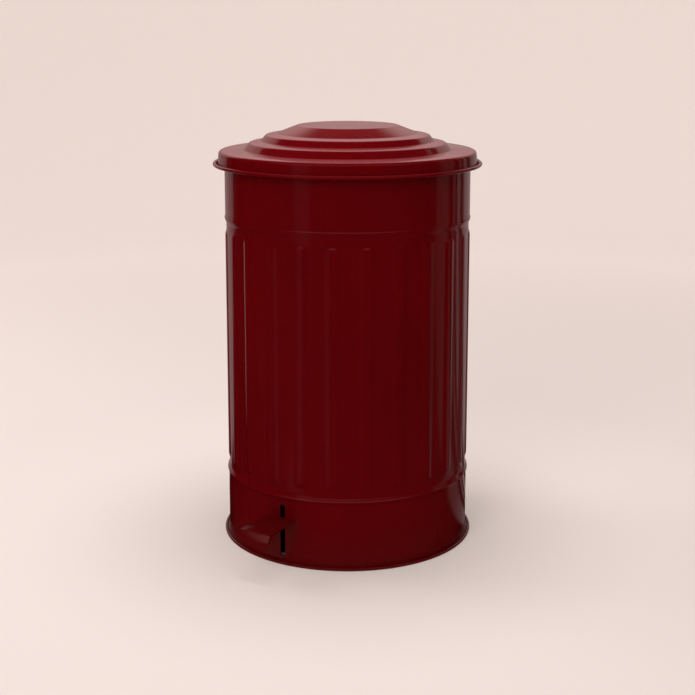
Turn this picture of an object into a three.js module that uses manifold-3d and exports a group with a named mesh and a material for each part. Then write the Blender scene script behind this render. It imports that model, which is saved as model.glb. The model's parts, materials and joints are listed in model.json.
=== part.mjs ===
// Round steel waste can with a stepped lid that a foot pedal opens.
// Millimetres, +Z up. The origin is where the can's axis meets the floor, the pedal points towards -Y
// and the lid's hinge is behind, towards +Y.
//
// Pressing the tread turns the lever about its pivot, the lever's rear tab lifts the push rod, and the
// rod's cap pushes up the cam under the lid. The cam's edge is an involute about the hinge, so the lid
// turns in proportion to the rod's travel. The lid's own weight closes it again.

import * as THREE from 'three'
import { mergeVertices } from 'three/addons/utils/BufferGeometryUtils.js'
import Module from 'manifold-3d'

const wasm = await Module()
wasm.setup()

// ---------------------------------------------------------------- driving dimensions

// Fits and facets
const roundSides = 48         // facets round the can's large pieces
const fitGap = 0.3            // between pieces that touch
const nestGap = 0.6           // between round pieces that sit one inside the other
const sheet = 0.8             // thickness of the pressed steel sheets

// Can
const bodyRadius = 145        // outer radius of the plain bands
const rimHeight = 459         // top of the can's rolled rim
const rimRoll = 2.2           // radius of that roll
const lowerBeadHeight = 79.3  // middle of the lower bead
const upperBeadDrop = 72.8    // middle of the upper bead, below the rim
const beadHalfHeight = 3
const lowerBeadRise = 1.3
const upperBeadRise = 0.75
const footRingRoll = 2.2      // radius of the rolled wire edge round the foot
const footRingReach = 5.5     // how far the foot ring stands out from the wall

// Ribs
const ribCount = 24
const firstRib = 9.4          // degrees from the pedal to the first rib
const panelDepth = 1.2        // how far the panel between the ribs is pressed in
const ribRise = 1.5           // how far a rib stands out of that panel
const ribHalfWidth = 3        // degrees, half of the rib's crown
const ribFlank = 1.5          // degrees, one sloping side
const ribEndGap = 9.7         // from a bead's middle to the rib's end
const ribEndLength = 5        // length of a rib's arched end
const ribEndRise = 0.02       // share of its full height where a rib begins
const ribEndWidth = 0.4       // share of its full width there

// Floors
const panRadius = 120         // flat middle of the base pan, which rests on the floor
const panRise = 5
const panFlange = 12          // height of the pan's upturned flange
const innerFloorSheet = 1.4
const innerFloorFlange = 10

// Pedal
const treadFloorGap = 5.35    // between the lip and the floor, with the pedal all the way down
const treadWidth = 40
const treadReach = 55         // from the wall to the tread's front bend
const treadSheet = 1.8
const treadWallGap = 1.8
const lipDrop = 8.7
const lipReach = 5
const leverSheet = 3
const leverDepth = 12
const leverEndDepth = 6
const pivotForward = 22       // from the can's axis to the lever's pivot
const leverPanGap = 1.8       // between the lever's rear end, at rest, and the base pan under it
const pivotRadius = 2.5
const cheekGap = 1            // between the lever and each cheek of its bracket
const cheekSheet = 1.5
const slotWidth = 6.5
const slotHeadroom = 17.6     // above the lever at rest
const slotFootroom = 6.1      // below the lever at the end of its travel
const tabLength = 10
const tabHalfWidth = 6
const tabSheet = 1.8

// Rod, cam and lid travel
const lidTravel = 70          // degrees
const rodRadius = 2.5
const rodWallGap = 2.5
const capRadius = 4
const capLength = 11
const capRise = 0.5           // middle of the cap's dome above the hinge axis
const camSheet = 3
const camFlangeHalfWidth = 9
const guideSheet = 1.2
const guideHalfWidth = 23
const guideDrop = 12          // rod guide's shelf below the hinge axis
const bushSheet = 0.8         // wall of the bush round the rod

// Hinge
const hingeSetback = 23       // from the can's wall to the hinge axis
const hingeDrop = 10          // hinge axis below the can's rim
const hingePinRadius = 2
const knuckleRadius = 4.2
const leafHalfWidth = 14
const hingeHalfWidth = 28
const hingeSheet = 1.5
const hingeBracketDrop = 44   // lower edge of the hinge bracket, below its axis
const hingeShelfDrop = 6.5    // its shelf below its axis
const rivetRadius = 2
const rivetHead = 3.8
const rivetAngle = 7          // degrees either side of the hinge's middle
const rivetDrops = [18, 36]   // below the hinge axis
const leafSheet = 1.4
const leafHeight = 8.4
const leafRise = 2.3          // lower edge of the leaf above the skirt's foot
const leafRivetRadius = 1.5
const leafRivetHead = 2.8
const leafRivetAngle = 3.5
const leafRivetRise = 7       // above the skirt's foot

// Lid
const lidFlatRise = 5.2       // top of the lid's outer flat, above the can's rim
const lidSkirtTop = 6.5       // lid's outer radius under its shoulder, past the body
const lidSkirtFoot = 8        // and at the foot of its skirt
const lidSkirt = 14.2         // height of the skirt
const lidShoulder = 3
const lidRoll = 2             // radius of the rolled edge
const lidRollReach = 11.8     // middle of that roll, past the body
const lidSteps = [            // [inset from the body's radius, height above the outer flat]
  [85.6, 29.1],               // edge of the flat top disc
  [62, 20],                   // foot of the cone
  [48.7, 18],                 // edge of the upper ring
  [43, 11.3],                 // foot of its riser
  [29, 8.9],                  // edge of the lower ring
  [23, 0.9],                  // foot of its riser
]
const bumperRadius = 2.4

// Bucket
const bucketWall = 1.4
const bucketRodGap = 7.5      // between its rim and the push rod
const bucketRimStep = 4.2
const bucketRimDepth = 10
const bucketTaper = 11
const bucketHeadroom = 6.4    // between its rim and the cam's tip
const bailRadius = 2
const bailDrop = 18           // bail's pivots below the bucket's top
const bailHang = 15           // degrees below level, at rest
const lugHalfWidth = 8
const lugStand = 2.5          // how far a lug stands out past the rim
const bailClear = 7.2         // bail's middle line past the bucket's rim, so that the grip swings past it
const gripRadius = 5
const gripSpan = 0.32         // radians of the bail that the grip covers, each way

// ---------------------------------------------------------------- derived places

const radians = THREE.MathUtils.degToRad
const innerRadius = bodyRadius - sheet
const panelRadius = bodyRadius - panelDepth
const upperBeadHeight = rimHeight - upperBeadDrop
const rodY = panelRadius - sheet - rodWallGap - rodRadius
const hingeY = bodyRadius + hingeSetback
const hingeZ = rimHeight - hingeDrop
const camArm = hingeY - rodY
const rodTravel = camArm * radians(lidTravel)
const pivotY = -pivotForward
const rearArm = rodY - pivotY
const pedalTravel = rodTravel / rearArm
const tabTop = panRise + sheet + leverPanGap + leverEndDepth
const pivotHeight = tabTop + rearArm * Math.tan(pedalTravel / 2)
const lipFront = -bodyRadius - treadReach - lipReach
const lipFall = (lipFront - pivotY) * Math.sin(pedalTravel)
const pressedLip = (treadFloorGap - pivotHeight - lipFall) / Math.cos(pedalTravel)
const treadHeight = pivotHeight + pressedLip + lipDrop
const lidFlat = rimHeight + lidFlatRise
const lidUnder = lidFlat - sheet
const skirtFoot = lidFlat - lidSkirt
const bodyFoot = sheet + fitGap
const panFlangeRadius = innerRadius - nestGap
const innerFloorTop = lowerBeadHeight + innerFloorSheet / 2
const capCentre = hingeZ + capRise
const camStart = capCentre + capRadius + fitGap
const guideHeight = hingeZ - guideDrop
const bucketFoot = innerFloorTop + fitGap
const bushSleeve = rodRadius + fitGap + bushSheet
const guideInner = innerRadius - fitGap - guideSheet
const cheekInner = leverSheet / 2 + cheekGap
const cheekOuter = cheekInner + cheekSheet
const leafLow = skirtFoot + leafRise
const skirtLean = (lidSkirtFoot - lidSkirtTop) / (lidSkirt - lidShoulder)

// ---------------------------------------------------------------- shape helpers

const point = (r, z, rib = 0) => ({ r, z, rib })

// Points of an arc about (r, z), from one angle to another, in degrees from the +r direction.
function arc(r, z, radius, from, to, steps) {
  return Array.from({ length: steps + 1 }, (_, i) => {
    const angle = radians(from + (to - from) * i / steps)
    return point(r + radius * Math.cos(angle), z + radius * Math.sin(angle))
  })
}

// The line beside a profile, at a distance to the right of its direction of travel.
function beside(line, distance) {
  return line.map((here, i) => {
    const normals = [[i - 1, i], [i, i + 1]]
      .filter(([a, b]) => a >= 0 && b < line.length)
      .map(([a, b]) => new THREE.Vector2(line[b].z - line[a].z, line[a].r - line[b].r).normalize())
    const [first, last] = [normals[0], normals.at(-1)]
    const shift = first.clone().add(last).multiplyScalar(distance / (1 + first.dot(last)))
    return point(here.r + shift.x, here.z + shift.y, here.rib)
  })
}

// A pressed sheet: the profile, and the same line back again a sheet's thickness to its right.
const pressed = (line, thickness) => [...line, ...beside(line, thickness).reverse()]

function signedVolume(points, corners) {
  const [a, b, c] = [new THREE.Vector3(), new THREE.Vector3(), new THREE.Vector3()]
  let volume = 0
  for (let i = 0; i < corners.length; i += 3) {
    a.fromArray(points, 3 * corners[i])
    b.fromArray(points, 3 * corners[i + 1])
    c.fromArray(points, 3 * corners[i + 2])
    volume += a.dot(b.cross(c)) / 6
  }
  return volume
}

// A three.js geometry as a solid that can be joined and cut.
function toSolid(geometry) {
  geometry.deleteAttribute('normal')
  geometry.deleteAttribute('uv')
  const merged = mergeVertices(geometry, 1e-4)
  const points = merged.attributes.position.array
  const corners = []
  for (let i = 0; i < merged.index.count; i += 3) {
    const [a, b, c] = [0, 1, 2].map((k) => merged.index.getX(i + k))
    if (a !== b && b !== c && c !== a) corners.push(a, b, c)
  }
  if (signedVolume(points, corners) < 0) corners.reverse()
  const mesh = new wasm.Mesh({ numProp: 3, vertProperties: points, triVerts: new Uint32Array(corners) })
  return new wasm.Manifold(mesh)
}

// A body of revolution about the can's axis. Angle 0 is at the pedal and angles grow towards +X.
// place moves each point of each meridian, given the meridian's number.
function turned(outline, segments, place = null) {
  const onAxis = outline[0].r === 0
  const closed = onAxis ? outline : [...outline, outline[0]]
  const geometry = new THREE.LatheGeometry(closed.map(({ r, z }) => new THREE.Vector2(r, z)), segments)
  if (place) {
    for (let i = 0; i <= segments; i++) {
      closed.forEach((at, j) => {
        const { angle, r } = place(i % segments, at)
        const [x, y] = [r * Math.sin(angle), r * Math.cos(angle)]
        geometry.attributes.position.setXYZ(i * closed.length + j, x, at.z, y)
      })
    }
  }
  geometry.rotateX(Math.PI / 2)
  return toSolid(geometry)
}

function block([x0, x1], [y0, y1], [z0, z1]) {
  const geometry = new THREE.BoxGeometry(x1 - x0, y1 - y0, z1 - z0)
  geometry.translate((x0 + x1) / 2, (y0 + y1) / 2, (z0 + z1) / 2)
  return toSolid(geometry)
}

// A body of revolution about the line from one point towards another. Its outline gives
// [radius, distance].
function spun(outline, from, towards, sides = 20) {
  const geometry = new THREE.LatheGeometry(outline.map(([r, along]) => new THREE.Vector2(r, along)), sides)
  const direction = new THREE.Vector3(...towards).sub(new THREE.Vector3(...from)).normalize()
  geometry.applyQuaternion(new THREE.Quaternion().setFromUnitVectors(new THREE.Vector3(0, 1, 0), direction))
  geometry.translate(...from)
  return toSolid(geometry)
}

// A plain round bar between two points.
function bar(radius, from, to, sides = 20) {
  const length = new THREE.Vector3(...from).distanceTo(new THREE.Vector3(...to))
  return spun([[0, 0], [radius, 0], [radius, length], [0, length]], from, to, sides)
}

// A plate across the can: an outline in Y and Z, between two X values.
function plate(outline, x0, x1) {
  const shape = new THREE.Shape(outline.map(([y, z]) => new THREE.Vector2(y, z)))
  const geometry = new THREE.ExtrudeGeometry(shape, { depth: x1 - x0, bevelEnabled: false })
  const [x, y, z] = [new THREE.Vector3(1, 0, 0), new THREE.Vector3(0, 1, 0), new THREE.Vector3(0, 0, 1)]
  geometry.applyMatrix4(new THREE.Matrix4().makeBasis(y, z, x))
  geometry.translate(x0, 0, 0)
  return toSolid(geometry)
}

const unite = (...solids) => solids.reduce((sum, next) => sum.add(next))
const cut = (solid, ...tools) => tools.reduce((rest, tool) => rest.subtract(tool), solid)

function finished(name, solid, material) {
  const { vertProperties, triVerts } = solid.getMesh()
  const geometry = new THREE.BufferGeometry()
  geometry.setAttribute('position', new THREE.BufferAttribute(vertProperties, 3))
  geometry.setIndex(new THREE.BufferAttribute(triVerts, 1))
  geometry.computeVertexNormals()
  const mesh = new THREE.Mesh(geometry, material)
  mesh.name = name
  return mesh
}

// A group of pieces that move together.
function body(name, pieces) {
  const group = new THREE.Group()
  group.name = name
  pieces.forEach(([pieceName, solid, material]) => group.add(finished(pieceName, solid, material)))
  return group
}

// ---------------------------------------------------------------- materials

const finish = (color, roughness, metalness) =>
  new THREE.MeshStandardMaterial({ color, roughness, metalness })
const lacquer = finish('#5a0208', 0.25, 0.1)
const zinc = finish('#b9bcc0', 0.4, 1)
const brightSteel = finish('#c9cacc', 0.25, 1)
const rubber = finish('#1c1c1d', 0.8, 0)
const bucketPlastic = finish('#26282a', 0.55, 0)
const nylon = finish('#e8e6df', 0.5, 0)

// ---------------------------------------------------------------- can

// Where rivets hold the hinge bracket outside the wall and the rod guide inside it.
const hingeRivets = rivetDrops.flatMap((drop) => [-rivetAngle, rivetAngle].map((degrees) => ({
  angle: radians(degrees),
  z: hingeZ - drop,
})))

// A point at a distance from the can's axis, at an angle from the hinge's side.
const behind = (angle, distance, z) => [distance * Math.sin(angle), distance * Math.cos(angle), z]

function radialHole({ angle, z }, radius) {
  return bar(radius, behind(angle, bodyRadius - 12, z), behind(angle, bodyRadius + 20, z), 12)
}

const hingeHoles = () => hingeRivets.map((at) => radialHole(at, rivetRadius + fitGap))

// A domed rivet through everything from the inner radius to the outer one.
function rivet({ angle, z }, shank, head, inner, outer) {
  const tail = 0.9
  const dome = 1.5
  const length = outer - inner + 2 * fitGap
  return spun([
    [0, 0], [head * 0.8, 0], [head * 0.8, tail], [shank, tail], [shank, tail + length],
    [head, tail + length], [head * 0.75, tail + length + dome * 0.7], [0, tail + length + dome],
  ], behind(angle, inner - fitGap - tail, z), behind(angle, outer + 10, z), 12)
}

// The lever's lower and upper edge at the wall, at rest.
const leverTop = treadHeight - treadSheet - fitGap
const leverFoot = leverTop - leverDepth

// How high a point of the lever is when the pedal is all the way down.
function pressedHeight(y, z) {
  return pivotHeight + (y - pivotY) * Math.sin(pedalTravel) + (z - pivotHeight) * Math.cos(pedalTravel)
}

function slotTool() {
  const low = pressedHeight(-bodyRadius, leverFoot) - slotFootroom
  const high = leverTop + slotHeadroom
  const half = slotWidth / 2
  const ends = [low + half, high - half].map((z) =>
    bar(half, [0, -bodyRadius - 5, z], [0, -bodyRadius + 10, z]))
  return unite(block([-half, half], [-bodyRadius - 5, -bodyRadius + 10], [low + half, high - half]), ...ends)
}

function bead(height, rise) {
  return [
    point(bodyRadius, height + beadHalfHeight),
    point(bodyRadius + rise, height + beadHalfHeight * 0.4),
    point(bodyRadius + rise, height - beadHalfHeight * 0.4),
    point(bodyRadius, height - beadHalfHeight),
  ]
}

function bodyShell() {
  const top = upperBeadHeight - ribEndGap
  const low = lowerBeadHeight + ribEndGap
  const panel = [
    point(panelRadius, upperBeadHeight - beadHalfHeight - 2),
    point(panelRadius, top, ribEndRise),
    point(panelRadius, top - ribEndLength, 1),
    point(panelRadius, low + ribEndLength, 1),
    point(panelRadius, low, ribEndRise),
    point(panelRadius, lowerBeadHeight + beadHalfHeight + 2),
  ]
  const outside = [
    ...arc(innerRadius + rimRoll, rimHeight - rimRoll, rimRoll, 180, -60, 4),
    point(bodyRadius, rimHeight - 2 * rimRoll),
    ...bead(upperBeadHeight, upperBeadRise),
    ...panel,
    ...bead(lowerBeadHeight, lowerBeadRise),
    point(bodyRadius, bodyFoot),
  ]
  const inside = [
    point(innerRadius, bodyFoot),
    point(innerRadius, lowerBeadHeight + beadHalfHeight),
    ...beside(panel, sheet).reverse(),
    point(innerRadius, upperBeadHeight - beadHalfHeight),
  ]
  const outline = [...outside, ...inside]

  // Each rib takes four meridians: its crown's two edges, then the two feet of its flanks.
  const foot = ribHalfWidth + ribFlank
  const meridians = [-ribHalfWidth, ribHalfWidth, foot, 360 / ribCount - foot]
  const place = (i, at) => {
    const rib = Math.floor(i / 4) * 360 / ribCount + firstRib
    const onCrown = i % 4 < 2
    const narrow = at.rib === ribEndRise && onCrown ? ribEndWidth : 1
    return {
      angle: radians(rib + meridians[i % 4] * narrow),
      r: at.r + (onCrown ? at.rib * ribRise : 0),
    }
  }
  return cut(turned(outline, ribCount * 4, place), slotTool(), ...hingeHoles())
}

function footRing() {
  const middle = bodyRadius + footRingReach - footRingRoll
  const leg = innerRadius - fitGap
  return turned([
    point(leg - sheet, 0),
    ...arc(middle, footRingRoll, footRingRoll, -90, 200, 6),
    point(bodyRadius + nestGap, sheet),
    point(leg, sheet),
    point(leg, 4),
    point(leg - sheet, 4),
  ], roundSides)
}

function basePan() {
  return turned(pressed([
    point(0, 0),
    point(panRadius, 0),
    point(panRadius + 6, panRise),
    point(panFlangeRadius - 4, panRise),
    point(panFlangeRadius, panRise + 3.2),
    point(panFlangeRadius, panFlange),
  ], -sheet), roundSides)
}

function innerFloor() {
  const bottom = innerFloorTop - innerFloorSheet
  const disc = turned([
    point(0, innerFloorTop),
    point(panFlangeRadius, innerFloorTop),
    point(panFlangeRadius, bottom - innerFloorFlange),
    point(panFlangeRadius - innerFloorSheet, bottom - innerFloorFlange),
    point(panFlangeRadius - innerFloorSheet, bottom),
    point(0, bottom),
  ], roundSides)
  return cut(disc, bar(bushSleeve + fitGap, [0, rodY, bottom - 5], [0, rodY, innerFloorTop + 5]))
}

function floorBush() {
  const flange = bushSleeve + 1.2
  const bore = rodRadius + fitGap
  const top = innerFloorTop + fitGap
  return spun([
    [bore, 0], [bushSleeve, 0], [bushSleeve, 3.4], [flange, 3.4], [flange, 4.6], [bore, 4.6], [bore, 0],
  ], [0, rodY, top - 3.4], [0, rodY, top + 5])
}

function pivotBracket() {
  const low = sheet + fitGap
  const top = pivotHeight + 8
  const outline = [
    [pivotY - 15, low], [pivotY + 15, low], [pivotY + 15, low + 6],
    [pivotY + 7, top - 4], [pivotY + 4, top], [pivotY - 4, top], [pivotY - 7, top - 4],
    [pivotY - 15, low + 6],
  ]
  const cheeks = [
    plate(outline, cheekInner, cheekInner + cheekSheet),
    plate(outline, -cheekInner - cheekSheet, -cheekInner),
  ]
  const foot = block([-20, 20], [pivotY - 15, pivotY + 15], [low, low + cheekSheet])
  const bore = bar(pivotRadius + fitGap, [-30, pivotY, pivotHeight], [30, pivotY, pivotHeight])
  return cut(unite(foot, ...cheeks), bore)
}

function pivotPin() {
  const length = 2 * cheekOuter + 6.6
  return spun([
    [0, 0], [pivotRadius + 1.8, 0], [pivotRadius + 1.8, 1.6], [pivotRadius, 1.6],
    [pivotRadius, length - 0.6], [pivotRadius - 0.6, length], [0, length],
  ], [-cheekOuter - fitGap - 1.6, pivotY, pivotHeight], [0, pivotY, pivotHeight], 16)
}

// A push-on retaining washer round a pin along X.
function retainer(bore, x, y, z) {
  return spun([
    [bore, 0], [bore + 2.2, 0], [bore + 2.2, 0.8], [bore + 1, 1.4], [bore, 1.4], [bore, 0],
  ], [x, y, z], [x + 5, y, z], 16)
}

// A curved strap that follows a wall's radius behind the can, between two heights.
function strap(inner, thickness, halfWidth, low, high) {
  const ring = turned([
    point(inner, low), point(inner + thickness, low), point(inner + thickness, high), point(inner, high),
  ], 2 * roundSides)
  return ring.intersect(block([-halfWidth, halfWidth], [0, 2 * inner], [low - 1, high + 1]))
}

function rodGuide() {
  const low = hingeZ - hingeBracketDrop
  const strapPiece = strap(guideInner, guideSheet, guideHalfWidth, low, guideHeight)
  const shelf = block([-9, 9], [rodY - 7, guideInner + 0.8], [guideHeight - guideSheet, guideHeight])
  const bore = bar(rodRadius + fitGap, [0, rodY, guideHeight - 10], [0, rodY, guideHeight + 10])
  return cut(unite(strapPiece, shelf), bore, ...hingeHoles())
}

function hingeBracket() {
  const inner = bodyRadius + fitGap
  const shelfTop = hingeZ - hingeShelfDrop
  const wide = [-hingeHalfWidth, hingeHalfWidth]
  const parts = [
    strap(inner, hingeSheet, hingeHalfWidth, hingeZ - hingeBracketDrop, shelfTop),
    block(wide, [inner + 0.5, hingeY + hingeSheet], [shelfTop - hingeSheet, shelfTop]),
    block(wide, [hingeY - hingeSheet, hingeY + hingeSheet], [shelfTop - hingeSheet, hingeZ - 3]),
    bar(knuckleRadius, [-hingeHalfWidth, hingeY, hingeZ], [hingeHalfWidth, hingeY, hingeZ]),
  ]
  const gap = leafHalfWidth + fitGap
  const middle = block([-gap, gap], [hingeY - 8, hingeY + 8], [shelfTop, hingeZ + 8])
  const bore = bar(hingePinRadius + fitGap, [-60, hingeY, hingeZ], [60, hingeY, hingeZ])
  // The plate stays outside the wall where the shelf is straight and the wall is round.
  const wall = bar(inner, [0, 0, hingeZ - 60], [0, 0, hingeZ], 2 * roundSides)
  return cut(unite(...parts), middle, bore, wall, ...hingeHoles())
}

function hingePin() {
  const length = 2 * hingeHalfWidth + 6
  return spun([
    [0, 0], [hingePinRadius + 1.6, 0], [hingePinRadius + 1.6, 1.4], [hingePinRadius, 1.4],
    [hingePinRadius, length - 0.5], [hingePinRadius - 0.5, length], [0, length],
  ], [-hingeHalfWidth - fitGap - 1.4, hingeY, hingeZ], [0, hingeY, hingeZ], 16)
}

function canPieces() {
  const bracketOuter = bodyRadius + fitGap + hingeSheet
  const pivotClip = retainer(pivotRadius + fitGap, cheekOuter + fitGap, pivotY, pivotHeight)
  const hingeClip = retainer(hingePinRadius + fitGap, hingeHalfWidth + fitGap, hingeY, hingeZ)
  return [
    ['body_shell', bodyShell(), lacquer],
    ['foot_ring', footRing(), lacquer],
    ['base_pan', basePan(), zinc],
    ['inner_floor', innerFloor(), zinc],
    ['floor_bush', floorBush(), nylon],
    ['pivot_bracket', pivotBracket(), zinc],
    ['pivot_pin', pivotPin(), brightSteel],
    ['pivot_pin_clip', pivotClip, brightSteel],
    ['rod_guide', rodGuide(), zinc],
    ['hinge_bracket', hingeBracket(), lacquer],
    ['hinge_pin', hingePin(), brightSteel],
    ['hinge_pin_clip', hingeClip, brightSteel],
    ...hingeRivets.map((at, i) => [
      `hinge_rivet_${i + 1}`, rivet(at, rivetRadius, rivetHead, guideInner, bracketOuter), brightSteel,
    ]),
  ]
}

// ---------------------------------------------------------------- lid

function lidShell() {
  const skirtTop = point(bodyRadius + lidSkirtTop, lidFlat - lidShoulder)
  const foot = point(bodyRadius + lidSkirtFoot, skirtFoot)
  const outside = [
    point(0, lidFlat + lidSteps[0][1]),
    ...lidSteps.map(([inset, rise]) => point(bodyRadius - inset, lidFlat + rise)),
    ...arc(skirtTop.r - lidShoulder, skirtTop.z, lidShoulder, 90, 0, 2),
    foot,
  ]
  const roll = arc(bodyRadius + lidRollReach, skirtFoot - 1, lidRoll, 165, -150, 5)
  const inside = beside(outside, sheet).reverse()
  inside[0].z = skirtFoot - 0.9
  const outline = [...outside, ...roll, ...inside]
  return cut(turned(outline, roundSides), ...leafHoles())
}

const leafRivets = [-leafRivetAngle, leafRivetAngle].map((degrees) => ({
  angle: radians(degrees),
  z: skirtFoot + leafRivetRise,
}))
const leafHoles = () => leafRivets.map((at) => radialHole(at, leafRivetRadius + fitGap))


// The skirt's outer radius at a height.
const skirtRadius = (z) => bodyRadius + lidSkirtFoot - skirtLean * (z - skirtFoot)

function lidLeaf() {
  const high = leafLow + leafHeight
  const width = [-leafHalfWidth, leafHalfWidth]
  const tab = turned([
    point(skirtRadius(leafLow) + fitGap, leafLow),
    point(skirtRadius(leafLow) + fitGap + leafSheet, leafLow),
    point(skirtRadius(high) + fitGap + leafSheet, high),
    point(skirtRadius(high) + fitGap, high),
  ], 2 * roundSides).intersect(block(width, [0, 2 * bodyRadius], [leafLow - 1, high + 1]))
  const shelfLow = hingeZ + knuckleRadius - leafSheet
  const shelf = block(width, [skirtRadius(leafLow) + 0.8, hingeY], [shelfLow, leafLow + 0.6])
  const knuckle = bar(knuckleRadius, [-leafHalfWidth, hingeY, hingeZ], [leafHalfWidth, hingeY, hingeZ])
  const bore = bar(hingePinRadius + fitGap, [-60, hingeY, hingeZ], [60, hingeY, hingeZ])
  const skirt = turned([
    point(1, leafLow - 4), point(skirtRadius(leafLow - 4) + fitGap, leafLow - 4),
    point(skirtRadius(high + 4) + fitGap, high + 4), point(1, high + 4),
  ], 2 * roundSides)
  return cut(unite(tab, shelf, knuckle), bore, skirt, ...leafHoles())
}

// The cam's working edge: where the rod cap's top is when the lid has turned by an angle, as the lid
// sees it.
function camEdge(steps) {
  const start = camStart - hingeZ
  return Array.from({ length: steps + 1 }, (_, i) => {
    const angle = radians(lidTravel + 3) * i / steps
    const rise = start + camArm * angle
    return [
      hingeY - camArm * Math.cos(angle) - rise * Math.sin(angle),
      hingeZ - camArm * Math.sin(angle) + rise * Math.cos(angle),
    ]
  })
}

function liftCam() {
  const flangeTop = lidUnder - fitGap
  const edge = camEdge(14)
  const [tipY, tipZ] = edge.at(-1)
  const fin = plate([
    [rodY + 5, flangeTop - 0.5], [rodY + 5, camStart], ...edge,
    [tipY - 3, tipZ + 0.5], [tipY - 6, flangeTop - 0.5],
  ], -camSheet / 2, camSheet / 2)
  const width = [-camFlangeHalfWidth, camFlangeHalfWidth]
  const flange = block(width, [tipY - 7, rodY + 5], [flangeTop - 1.2, flangeTop])
  return unite(fin, flange)
}

function bumper(degrees) {
  const angle = radians(degrees)
  const r = innerRadius + rimRoll - 0.5
  const [x, y] = [r * Math.sin(angle), -r * Math.cos(angle)]
  const foot = rimHeight + fitGap
  const length = lidUnder - fitGap - foot
  return spun([
    [0, 0], [bumperRadius - 0.6, 0], [bumperRadius, 0.6], [bumperRadius, length], [0, length],
  ], [x, y, foot], [x, y, foot + 1], 12)
}

function lidPieces() {
  // The skirt leans, so the rivets' heads stand off by what it leans across them.
  const stand = leafRivetHead * skirtLean
  const skirt = skirtRadius(leafRivets[0].z)
  const [inner, outer] = [skirt - sheet - stand, skirt + fitGap + leafSheet + stand]
  return [
    ['lid_shell', lidShell(), lacquer],
    ['lid_leaf', lidLeaf(), lacquer],
    ['lift_cam', liftCam(), zinc],
    ...leafRivets.map((at, i) => [
      `leaf_rivet_${i + 1}`, rivet(at, leafRivetRadius, leafRivetHead, inner, outer), brightSteel,
    ]),
    ['bumper_front', bumper(0), rubber],
    ['bumper_left', bumper(-120), rubber],
    ['bumper_right', bumper(120), rubber],
  ]
}

// ---------------------------------------------------------------- pedal and rod

function pedalTread() {
  const back = -bodyRadius - treadWallGap
  const front = -bodyRadius - treadReach
  const under = treadHeight - treadSheet
  const across = new THREE.Vector2(lipDrop, -lipReach).normalize().multiplyScalar(treadSheet)
  return plate([
    [back, treadHeight], [front, treadHeight], [front - lipReach, treadHeight - lipDrop],
    [front - lipReach + across.x, treadHeight - lipDrop + across.y], [front + 1, under], [back, under],
  ], -treadWidth / 2, treadWidth / 2)
}

function pedalLever() {
  const tip = -bodyRadius - treadReach + 3
  const knee = -bodyRadius + 7
  const end = rodY + 3
  const strip = plate([
    [tip, leverTop], [knee, leverTop], [pivotY, pivotHeight + 7], [end, tabTop],
    [end, tabTop - leverEndDepth], [end - 13, tabTop - leverEndDepth], [pivotY, pivotHeight - 7],
    [knee, leverFoot], [tip, leverTop - leverEndDepth],
  ], -leverSheet / 2, leverSheet / 2)
  const tab = block([-tabHalfWidth, tabHalfWidth], [end - tabLength, end], [tabTop - tabSheet, tabTop])
  // The strip's upper edge comes down to the tab's, so what stands above the tab is cut off.
  const above = block([-20, 20], [end - tabLength, end + 5], [tabTop, tabTop + 20])
  const bore = bar(pivotRadius + fitGap, [-20, pivotY, pivotHeight], [20, pivotY, pivotHeight])
  return cut(unite(strip, tab), above, bore)
}

// A quarter circle from a bar's side to its axis, where the bar's rounded end starts at a distance.
// way is 1 for the far end and -1 for the near one.
function dome(radius, start, way, steps) {
  return Array.from({ length: steps + 1 }, (_, i) => {
    const angle = Math.PI / 2 * i / steps
    return [i === steps ? 0 : radius * Math.cos(angle), start + way * radius * Math.sin(angle)]
  })
}

const rodTop = capCentre + capRadius - 2

function pushRod() {
  const foot = tabTop + fitGap
  const near = dome(rodRadius, rodRadius, -1, 3).reverse()
  const far = dome(rodRadius, rodTop - foot - rodRadius, 1, 3)
  return spun([...near, ...far], [0, rodY, foot], [0, rodY, rodTop], 12)
}

function rodCap() {
  const foot = capCentre + capRadius - capLength
  const bore = rodRadius + fitGap
  const depth = rodTop + fitGap - foot
  const round = dome(capRadius, capLength - capRadius, 1, 4)
  const outline = [[0, depth], [bore, depth], [bore, 0], [capRadius, 0], ...round]
  return spun(outline, [0, rodY, foot], [0, rodY, foot + 1], 16)
}

// ---------------------------------------------------------------- bucket

const [, camTip] = camEdge(14).at(-1)
const bucketTop = camTip - bucketHeadroom
const bucketRim = rodY - rodRadius - bucketRodGap
const bucketSide = bucketRim - bucketRimStep
const bailPivot = bucketTop - bailDrop
const lugReach = bucketRim + lugStand

function innerBucket() {
  const rimFoot = bucketTop - bucketRimDepth
  const shell = turned(pressed([
    point(0, bucketFoot),
    point(bucketSide - bucketTaper - 5, bucketFoot),
    point(bucketSide - bucketTaper, bucketFoot + 4),
    point(bucketSide, rimFoot),
    point(bucketRim, rimFoot + 0.6),
    point(bucketRim, bucketTop),
  ], -bucketWall), roundSides)
  const lug = (side) => {
    const [near, far] = [side * (bucketSide - 0.7), side * lugReach].sort((a, b) => a - b)
    const width = [-lugHalfWidth, lugHalfWidth]
    const solid = block([near, far], width, [bailPivot - lugHalfWidth, rimFoot + 0.3])
    const blindStart = [side * (bucketSide + 1), 0, bailPivot]
    const blind = bar(bailRadius + fitGap, blindStart, [side * (lugReach + 5), 0, bailPivot])
    return { solid, blind }
  }
  const lugs = [lug(-1), lug(1)]
  return cut(unite(shell, ...lugs.map(({ solid }) => solid)), ...lugs.map(({ blind }) => blind))
}

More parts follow.
